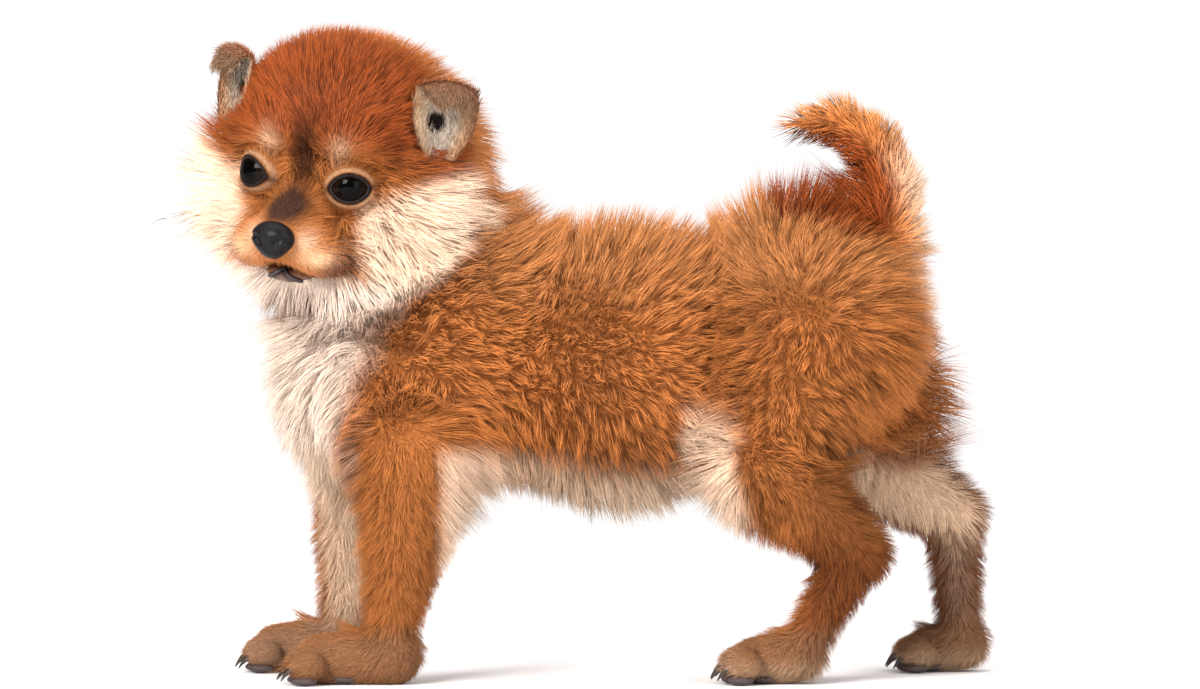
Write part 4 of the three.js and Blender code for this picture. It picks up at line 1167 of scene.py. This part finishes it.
def trimmed(height, root):
    """Height of the tufts, cut short where the ears stand and round the eyes and the mouth."""
    for side in (-1, 1):
        ear = spot(head_local(root), (45 * side, 14, 16), (13, 14, 14))
        height = height * (1 - 0.96 * ease(0.1, 0.7, ear))
    for eye in EYES:
        rim, ahead = almond(eye, root)
        height = height * np.where(ahead > 0, 0.3 + 0.7 * ease(0.8, 4.5, rim), 1)
    return height * (0.16 + 0.84 * ease(3, 13, polyline_distance(root, MOUTH)))


def build_coat(points, faces):
    """Tufts over the skin. Roots fall on its quads by area times density. A tuft runs from the lift
    towards the lie, leans into its clump, and tapers through its rings to a point."""
    rng = np.random.default_rng(11)
    normals = vertex_normals(points, faces)
    triangles = halves(faces)
    mass = np.cumsum(areas(points, triangles) * growth(points[triangles].mean(1)))
    count = int(mass[-1])
    pick, weights = scatter(mass, count, rng)
    root = between(points, triangles[pick], weights)
    normal = unit(between(normals, triangles[pick], weights))

    shares = form_shares(root)
    lie = lie_of(root, normal, shares)
    lift, lay, width, pull, curl = (
        blended(shares, name) for name in ("lift", "lay", "width", "clump", "curl")
    )
    depth = coat_depth(root, normal)
    size = np.round(blended(shares, "clump_size") * 2) / 2
    way, own, inside = clumps(root, size, 21)
    side = np.cross(lie, normal)
    swing = curl * (0.9 * (own - 0.5) * 2 + 0.8 * drift(root, 6.0, 31))
    swing = swing + 0.12 * rng.standard_normal(count)
    lie = unit(lie * np.cos(swing)[:, None] + side * np.sin(swing)[:, None])
    side = np.cross(lie, normal)
    way = way - normal * (way * normal).sum(1, keepdims=True)
    height = depth * rng.uniform(0.78, 1.1, count) * (0.84 + 0.22 * inside) * (1 + 0.1 * (own - 0.5))
    height = trimmed(height, root)
    stray = rng.random(count) < 0.03
    height[stray] *= rng.uniform(1.05, 1.2, stray.sum())
    lift = np.radians(lift + rng.normal(0, 6, count))
    lay = np.radians(lay + rng.normal(0, 5, count))

    # Spines: each length turns further from the lift to the lay and bends aside
    steps = [lift + (lay - lift) * (n + 0.5) / SEGMENTS for n in range(SEGMENTS)]
    length = height / (sum(np.sin(s) for s in steps) / SEGMENTS)
    spine = [root - 0.8 * normal]
    bend = curl * rng.normal(0, 0.35, count)
    for n, angle in enumerate(steps):
        turn = bend * (n - 0.5)
        ahead = lie * np.cos(turn)[:, None] + side * np.sin(turn)[:, None]
        step = np.cos(angle)[:, None] * ahead + np.sin(angle)[:, None] * normal
        spine.append(spine[-1] + step * (length / SEGMENTS)[:, None])
    for n in range(1, SEGMENTS + 1):
        spine[n] = spine[n] + way * (pull * (n / SEGMENTS) ** 1.4)[:, None]
        spine[n][:, 2] = np.maximum(spine[n][:, 2], 0.25)
    width = width * rng.uniform(0.75, 1.3, count)
    tufts, facing = rings_of(spine, normal, [width * share for share in TAPER])

    # Colours: the markings at the outer part of each tuft, with painted shade at its root and between
    # clumps
    seen = markings(spine[0] * 0.35 + spine[-1] * 0.65)
    pale = ease(0.28, 0.6, seen.mean(1))
    body = ease(4, 11, depth)
    vary = np.exp(rng.normal(0, 0.08, count) + 0.16 * body * (own - 0.5))
    # painted shade: tufts near the border of their clump are darkened, less on pale fur
    gap = 1 - (0.4 * body * (1 - 0.8 * pale) + 0.04) * (1 - ease(0.0, 0.5, inside))
    dark = rng.random(count) < (0.04 + 0.07 * body) * (1 - pale) + 0.003
    seen = seen * (vary * gap)[:, None]
    seen[dark] = mix(seen[dark], SABLE, np.full(dark.sum(), 0.6))
    # painted shade towards each tuft's root, less on pale fur; its tip a little above the markings,
    # partly its paler end and partly painted light
    root_shade_share = 0.55 + 0.42 * pale
    painted_light_levels = [root_shade_share, 0.3 + 0.7 * root_shade_share, 1.1 + 0.08 * body]
    colour = np.stack([seen * painted_light_levels[n][:, None] for n in (0, 0, 0, 1, 1, 1, 2)], axis=1)

    pieces = np.array([form["piece"] for form in FORMS])[np.argmax(shares, axis=1)]
    for name in sorted(set(pieces)):
        kept, shape = (NEEDLE, NEEDLE_FACES) if name in SHORT else (TUFT, TUFT_FACES)
        chosen = np.flatnonzero(pieces == name)
        chosen = chosen[np.argsort(root[chosen, 1] + 0.001 * root[chosen, 0])]
        parts = -(-len(chosen) * len(shape) // LARGEST_PIECE)
        for n, some in enumerate(np.array_split(chosen, parts)):
            label = f"fur_{name}" if parts == 1 else f"fur_{name}_{n + 1}"
            place = map_place(name, root[some])
            piece = plant(label, tufts[some], colour[some], place, kept, shape)
            ways = facing[some][:, kept].reshape(-1, 3)
            piece.data.normals_split_custom_set_from_vertices(ways)


def build_skin_piece():
    """The skin in the colours of the coat, darkened as painted shade under the tufts, in place of every
    solid that fur grows on.
    """
    points, faces = build_skin()
    skin = make_piece("skin", points, faces, skin_material(), "coat")
    shown = markings(points)
    # painted shade: the markings darkened to half on dark fur and less on pale fur, for the shade deep
    # in the coat
    paint(skin, "coat", shown * (0.5 + 0.4 * ease(0.28, 0.6, shown.mean(1)))[:, None])
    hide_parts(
        *[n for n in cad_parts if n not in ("nose", "eye_left", "eye_right", "ear_left", "ear_right")],
    )
    return skin, points, faces


FUR_LOOK = fur_material()
skin, skin_points, skin_faces = build_skin_piece()
build_coat(skin_points, skin_faces)


# Eyes
def cornea(angle):
    """How far the ball swells out in front, by the angle from its look."""
    return 1 + 0.035 * ease(0.75, 0.3, angle)


def build_eyes():
    """Each eye: a ball that swells a little into the cornea in front, and the dark rim of its lids."""
    wet = eye_material()
    rim_skin, _ = grained(
        "lid_rim", (0.012, 0.009, 0.009), 800, 0.6, 1.6, 0.45, 0.4, 0.0003, Specular_IOR_Level=0.12
    )
    for node, eye in zip(("eye_left", "eye_right"), EYES):
        points, faces, angle = spheroid(eye["centre"], eye["axes"], [eye["radius"]] * 3, 48, 64, cornea)
        ball_piece = make_piece(node + "_ball", points, faces, wet, "eye")
        paint(ball_piece, "from_look", angle / math.pi * 2)
        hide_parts(node)
        turn = np.arange(72) / 72 * 2 * math.pi
        rise = np.sign(np.sin(turn)) * np.abs(np.sin(turn)) ** 1.25
        flat = np.stack([(OPENING[0] + 0.3) * np.cos(turn), (OPENING[1] + 0.3) * rise], axis=1)
        out = np.sqrt(np.maximum((EYE_BALL + 0.25) ** 2 - (flat ** 2).sum(1), 4))
        ring = eye["centre"] + np.concatenate([flat, out[:, None]], axis=1) @ eye["axes"]
        path = np.concatenate([ring, ring[:1]])
        points, faces = tube(path, 0.45, 8, eye["axes"][2])
        make_piece(node.replace("eye", "lid_rim"), points, faces, rim_skin, "coat")


build_eyes()


# Nose
NOSTRIL = [  # its middle line, from the front round to the side
    (3.6, 61.6, -30.4),
    (4.6, 61.4, -28.8),
    (6.4, 60.4, -28.0),
    (8.2, 58.4, -28.2),
    (9.8, 55.5, -29.4),
]
NOSE_MIDDLE = 0.5  # how far it stands to the head's side


def build_nose():
    """Nose leather: two blended balls with nostrils bored as commas, meshed on a fine grid."""
    lines = [np.arange(lo, hi, 0.5) for lo, hi in ((-12, 13), (46, 66), (-42, -18))]
    local = np.stack(np.meshgrid(*lines, indexing="ij"), axis=-1)

    def ellipsoid(centre, radii):
        q = (local - centre) / np.array(radii)
        reach = np.linalg.norm(q, axis=-1)
        return reach * (reach - 1) / np.maximum(np.linalg.norm(q / radii, axis=-1), 1e-9)

    pad = ellipsoid([NOSE_MIDDLE, 56, -28.5], [8.9, 6.2, 6.4])
    foot = ellipsoid([NOSE_MIDDLE, 55, -32.4], [4.8, 5.5, 4.4])
    value = smooth_min(pad, foot, 3)
    for side in (-1, 1):
        path = np.array(NOSTRIL) * [side, 1, 1] + [NOSE_MIDDLE, 0, 0]
        hole = polyline_distance(local, path) - (1.75 - 0.13 * np.abs(local[..., 0]))
        value = -smooth_min(-value, hole, 0.8)
    groove = np.hypot(local[..., 0] - NOSE_MIDDLE, (local[..., 1] - 62.6) / 1.6) - 0.45
    value = -smooth_min(-value, np.maximum(groove, local[..., 2] + 30), 0.7)
    points, faces = surface_net(value, lines)
    leather = nose_material()
    piece = make_piece("nose_leather", head_point(points), faces[:, ::-1], leather, "nose_leather")
    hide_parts("nose")


build_nose()


# Lips
def build_lips():
    """A dark cord of bare skin in the furrow between the lips, thinner towards its ends."""
    lip_skin, _ = grained("lip_skin", (0.02, 0.014, 0.015), 500, 0.6, 1.8, 0.5, 0.5, 0.0004)
    outward = unit(MOUTH - head_point((0, 25, -42)))
    share = np.abs(np.linspace(-1, 1, len(MOUTH)))
    mouth = tube(MOUTH + 0.15 * outward, 0.85 * (1 - 0.75 * share ** 4), 8)
    groove = tube(GROOVE, 0.5, 8, HEAD[1])
    points, faces = join_grids(mouth, groove)
    make_piece("lips", points, faces, lip_skin, "coat")


build_lips()


# Ears
EAR_ROOT = (47, 9, 8)  # on the puppy's left, in the head's frame, as are the next two
EAR_UP = (-0.06, -0.15, 0.98)
EAR_FACING = (0.6, 0.76, 0.2)  # where the cup opens to
EAR_LENGTH, EAR_CUP, EAR_THICK = 37, 6.0, 2.0  # the cup's depth and the flap's thickness
EAR_FOLD = 2.55  # radians that the tip turns forwards
FOLD_FROM, FOLD_TO = 0.66, 0.84  # share of the length where it folds
EAR_SHARES = (0, 0.15, 0.35, 0.6, 0.72, 0.86, 1)
EAR_HALVES = (6.0, 9.5, 12.4, 13.2, 12.2, 9.4, 4.2)  # half width at each of those shares


def ear_frame(side):
    """The ear's ways: up along it, and out of its cup."""
    up = unit(np.array([side, 1, 1]) * EAR_UP @ HEAD)
    facing = np.array([side, 1, 1]) * EAR_FACING @ HEAD
    return up, unit(facing - up * (facing @ up))


def ear_sheets(side, rows=48, columns=32):
    """The ear's inner and outer face: a spine that rises and then folds forwards, with a half width
    that follows its stations, and a cup that is deepest in the middle."""
    up, facing = ear_frame(side)
    wide = np.cross(up, facing)
    along = np.linspace(0, 1, rows + 1)
    turn = EAR_FOLD * ease(FOLD_FROM, FOLD_TO, along)
    rise = np.cos(turn)[:, None] * up + np.sin(turn)[:, None] * facing
    outward = np.cos(turn)[:, None] * facing - np.sin(turn)[:, None] * up
    step = rise * (EAR_LENGTH / rows)
    root = head_point((EAR_ROOT[0] * side, EAR_ROOT[1], EAR_ROOT[2]))
    spine = root - 3 * up + np.cumsum(step, axis=0) - step[0]
    half = np.interp(along, EAR_SHARES, EAR_HALVES)
    across = np.linspace(-1, 1, columns + 1)
    back = EAR_CUP * (1 - across ** 2)[None] * (1 - 0.85 * along)[:, None]
    thick = EAR_THICK * (1 - 0.6 * across ** 2)[None] * (1 - 0.4 * along)[:, None]
    out = outward[:, None]
    inner = spine[:, None] + (across[None] * half[:, None])[..., None] * wide - back[..., None] * out
    outer = inner - thick[..., None] * out
    return inner, outer, along, across


def ear_faces(rows, columns):
    """Quads of the inner face, then of the outer one, and round the rim between them. The outer
    face's points are numbered after all of the inner one's."""
    shift = rows * columns
    a = grid_starts(rows, columns)
    front = np.stack([a, a + 1, a + columns + 1, a + columns], axis=1)
    back = np.stack([a, a + columns, a + columns + 1, a + 1], axis=1) + shift
    r, c = columns * np.arange(rows - 1), np.arange(columns - 1)
    left = np.stack([r, r + columns, r + columns + shift, r + shift], axis=1)
    right = (left + columns - 1)[:, ::-1]
    foot = np.stack([c, c + shift, c + 1 + shift, c + 1], axis=1)
    top = (foot + (rows - 1) * columns)[:, ::-1]
    return np.concatenate([front, back, left, right, foot, top])


def ear_markings(side, share, across, is_inner):
    """Colours of an ear: pale inside with the canal nearly black, its dark hair and painted shade for
    its depth, and a tan front edge;
    rust outside with a sable fold, and a dark rim. share runs up the ear and across from one edge, -1,
    to the other."""
    edge = np.abs(across)
    inside = mix(GREY * 0.8, BEIGE * 0.75, ease(0.3, 0.9, edge))
    # the canal's mouth, nearly black: its dark hair and painted shade for its depth
    hole = spot(np.stack([across, share], axis=1), (-0.2 * side, 0.38), (0.36, 0.13))
    inside = mix(inside, SMUDGE * 0.08, ease(0.3, 0.6, hole))
    inside = mix(inside * 0.8, TAN, 0.85 * ease(0.4, 0.95, across * side))
    fold = mix(SABLE, BEIGE, np.full(len(share), 0.16))
    outside = mix(RUST, fold, ease(0.6, 0.85, share))
    colour = np.where(is_inner[:, None], inside, outside)
    return mix(colour, SABLE, 0.6 * ease(0.85, 1.0, edge))


def build_ears():
    """Each ear: its two faces joined round the rim, in their own colours, with tufts."""
    skin_of_ear = skin.data.materials[0]
    for node, side in (("ear_left", 1), ("ear_right", -1)):
        inner, outer, along, across = ear_sheets(side)
        rows, columns = inner.shape[:2]
        points = np.concatenate([inner.reshape(-1, 3), outer.reshape(-1, 3)])
        faces = ear_faces(rows, columns)
        normals = vertex_normals(points, faces)
        a, b, c, d = (points[faces[:, n]] for n in range(4))
        if (points[faces].mean(1) * np.cross(c - a, d - b)).sum() < 0:  # its volume, inside out
            faces, normals = faces[:, ::-1], -normals
        share = np.tile(np.repeat(along, columns), 2)
        across = np.tile(across, 2 * rows)
        is_inner = np.arange(len(points)) < rows * columns
        colour = ear_markings(side, share, across, is_inner)
        piece = make_piece(node + "_shell", points, faces, skin_of_ear, "coat")
        paint(piece, "coat", colour)
        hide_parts(node)
        ear_tufts(node, side, points, faces, normals, colour, share, np.abs(across), is_inner)


def ear_tufts(node, side, points, faces, normals, colour, share, edge, is_inner):
    """Short fine tufts over both faces of an ear, lying towards its tip."""
    rng = np.random.default_rng(41 + side)
    triangles = halves(faces)
    inner = is_inner[triangles].mean(1)
    grown = (2.2 - 1.2 * inner) * (colour[triangles].mean((1, 2)) > 0.02)
    mass = np.cumsum(areas(points, triangles) * grown)
    count = int(mass[-1] * (1.0))
    pick, weights = scatter(mass, count, rng)
    corners = triangles[pick]
    root = between(points, corners, weights)
    normal = unit(between(normals, corners, weights))
    seen = between(colour, corners, weights)
    along = between(share, corners, weights)
    turn = EAR_FOLD * ease(FOLD_FROM, FOLD_TO, along)
    up, facing = ear_frame(side)
    lie = np.cos(turn)[:, None] * up + np.sin(turn)[:, None] * facing
    lie = lie + 0.25 * rng.standard_normal((count, 3))
    lie = unit(lie - normal * (lie * normal).sum(1, keepdims=True))
    length = rng.uniform(2.6, 5.2, count)[:, None]
    angle = np.radians(rng.normal(24, 6, count))[:, None]
    spine = [root - 0.4 * normal]
    for lean in (angle, 0.6 * angle):
        spine.append(spine[-1] + length / 2 * (np.cos(lean) * lie + np.sin(lean) * normal))
    tufts, _ = rings_of(spine, normal, (0.34, 0.28))
    vary = np.exp(rng.normal(0, 0.16, count))[:, None]
    # painted shade at each tuft's root and painted light at its tip: 0.8 to 1.15 of the ear's colour
    shades = np.stack([seen * vary * level for level in (0.8, 0.8, 0.8, 1, 1, 1, 1.15)], axis=1)
    across = 0.25 + 0.25 * (inner[pick] > 0.5) + 0.2 * (edge[corners[:, 0]] - 0.5)
    plant("fur_" + node, tufts, shades, np.stack([across, 0.05 + 0.9 * along], axis=1))


build_ears()


# Claws, pads and whiskers
def build_claws():
    """One curved, tapering claw on each toe, and flat pads under the toes and the foot."""
    horn, _ = grained(
        "claw_horn", (0.02, 0.014, 0.011), 900, 0.5, 2.0, 0.38, 0.3, 0.0003, Coat_Weight=0.25
    )
    pad_skin, _ = grained("pad_skin", (0.05, 0.032, 0.03), 900, 0.6, 1.5, 0.75, 0.7, 0.0006)
    claws, pads = [], []
    for foot in FEET:
        for toe in TOES:
            x, y, z = toe_centre(toe, foot)
            t = np.linspace(0, 1, 10)
            path = np.stack([x - 5.5 - 5.2 * t, y + 0 * t, z - 1.2 - 2.2 * t - 3.0 * t ** 2.2], axis=1)
            claws.append(tube(path, 1.5 * (1 - 0.86 * t ** 1.5), 10))
            toe_pad = np.array([x - 1.5, y, 2.0])
            pads.append(spheroid(toe_pad, np.eye(3), (5.2, 3.9, 1.9), 10, 16)[:2])
        x, y, width, length = foot
        foot_pad = np.array([x - length * 0.42, y, 2.1])
        pads.append(spheroid(foot_pad, np.eye(3), (7.5, width * 0.3, 2.0), 12, 20)[:2])
    make_piece("claws", *join_grids(*claws), horn, "coat")
    make_piece("pads", *join_grids(*pads), pad_skin, "coat")


def build_whiskers():
    """Fine tapering whiskers from both sides of the muzzle: straight out, back and drooping as t^2."""
    rng = np.random.default_rng(3)
    hair, _ = grained("whisker_hair", (0.05, 0.035, 0.03), 400, 0.6, 1.4, 0.5, 0.1, 0.0002)
    whiskers = []
    for side in (-1, 1):
        for row in range(3):
            for n in range(4):
                start = head_point([(60 * side, 44 - 5 * n, -29.5 - 3.2 * row + 0.6 * n)])
                root = cast(start, [-side * HEAD[0]])[0]
                rise = -0.12 * row + 0.1 * rng.standard_normal()
                way = unit(np.array([side, 0.1 - 0.22 * n, rise]) @ HEAD)
                t = np.linspace(0, 1, 12)[:, None]
                length = rng.uniform(12, 20)
                path = root - way + way * length * t - HEAD[2] * (4.5 * t ** 2) - HEAD[1] * (5 * t ** 2)
                whiskers.append(tube(path, 0.14 * (1 - 0.85 * t[:, 0]), 5))
    make_piece("whiskers", *join_grids(*whiskers), hair, "coat")


build_claws()
build_whiskers()


# Stage, lights and camera
def metres(point):
    """A point of the source in the frame's metres."""
    return tuple((np.array(point, float) - ORIGIN) * MM)


FLOOR_HALF = 1800.0  # half the floor's side


def build_floor():
    """A pale level floor: a square grid painted lighter outwards, as painted light where the lamps
    reach it less, up to the white of the air round it.
    """
    count = 60
    line = np.linspace(-FLOOR_HALF, FLOOR_HALF, count)
    x, y = (side.ravel() for side in np.meshgrid(line, line, indexing="ij"))
    a = grid_starts(count, count)
    faces = np.stack([a, a + count, a + count + 1, a + 1], axis=1)
    paper, _ = grained("pale_paper", "coat", 40, 0.985, 1.0, 0.8, 0.05, 0.0005)
    floor = mesh_object("floor", np.stack([x, y, 0 * x - 0.1], axis=1), faces, paper)
    # painted light: darker near the puppy and lighter outwards, making up for the lamps' falloff so
    # that its far edge meets the white of the air
    near, far = np.array([0.86, 0.84, 0.84]), np.full(3, 0.985)
    paint(floor, "coat", mix(near, far, ease(500, 2200, np.hypot(x, y))))


def add_light(name, place, aim, size, power, colour=(1, 1, 1)):
    """A square soft light at a place, turned to its aim."""
    light = bpy.data.lights.new(name, "AREA")
    light.size = size
    light.energy = power
    light.color = colour
    lamp = bpy.data.objects.new(name, light)
    bpy.context.scene.collection.objects.link(lamp)
    lamp.location = metres(place)
    lamp.rotation_euler = (Vector(metres(aim)) - lamp.location).to_track_quat("-Z", "Y").to_euler()


def build_world():
    """White air that lights the coat, shows a little lighter behind it and is dim in the eyes and
    the nose, which would mirror it."""
    world = bpy.data.worlds.new("studio")
    world.use_nodes = True
    tree = world.node_tree
    studio = tree.nodes["Background"]
    preset(studio, Color=(1.0, 0.985, 0.985, 1))
    rays = tree.nodes.new("ShaderNodeLightPath")
    dim = tree.nodes.new("ShaderNodeMapRange")
    white = tree.nodes.new("ShaderNodeMapRange")
    preset(white, To_Min=0.95, To_Max=1.04)
    preset(dim, To_Max=0.12)
    wire(
        tree,
        (rays, "Is Camera Ray", white, "Value"),
        (white, "Result", dim, "To Min"),
        (rays, "Is Glossy Ray", dim, "Value"),
        (dim, "Result", studio, "Strength"),
    )
    bpy.context.scene.world = world
    bpy.context.scene.view_settings.view_transform = "Standard"


def add_camera():
    """The photograph's view: level, square onto the puppy's left, from 1.8 metres."""
    lens = bpy.data.cameras.new("photo_camera")
    lens.lens = 135
    lens.sensor_width = 36
    lens.clip_end = 50
    camera = bpy.data.objects.new("photo_camera", lens)
    bpy.context.scene.collection.objects.link(camera)
    camera.location = metres((0, -1800, 133))
    camera.rotation_euler = (math.pi / 2, 0, 0)
    bpy.context.scene.camera = camera


build_floor()
add_light("key_light", (-700, -1300, 900), (-20, 0, 120), 0.7, 40, (1.0, 0.98, 0.96))
add_light("fill_light", (1100, -1300, 500), (0, 0, 120), 1.2, 16)
add_light("top_light", (0, 100, 1500), (0, 0, 100), 1.2, 14)
build_world()
add_camera()
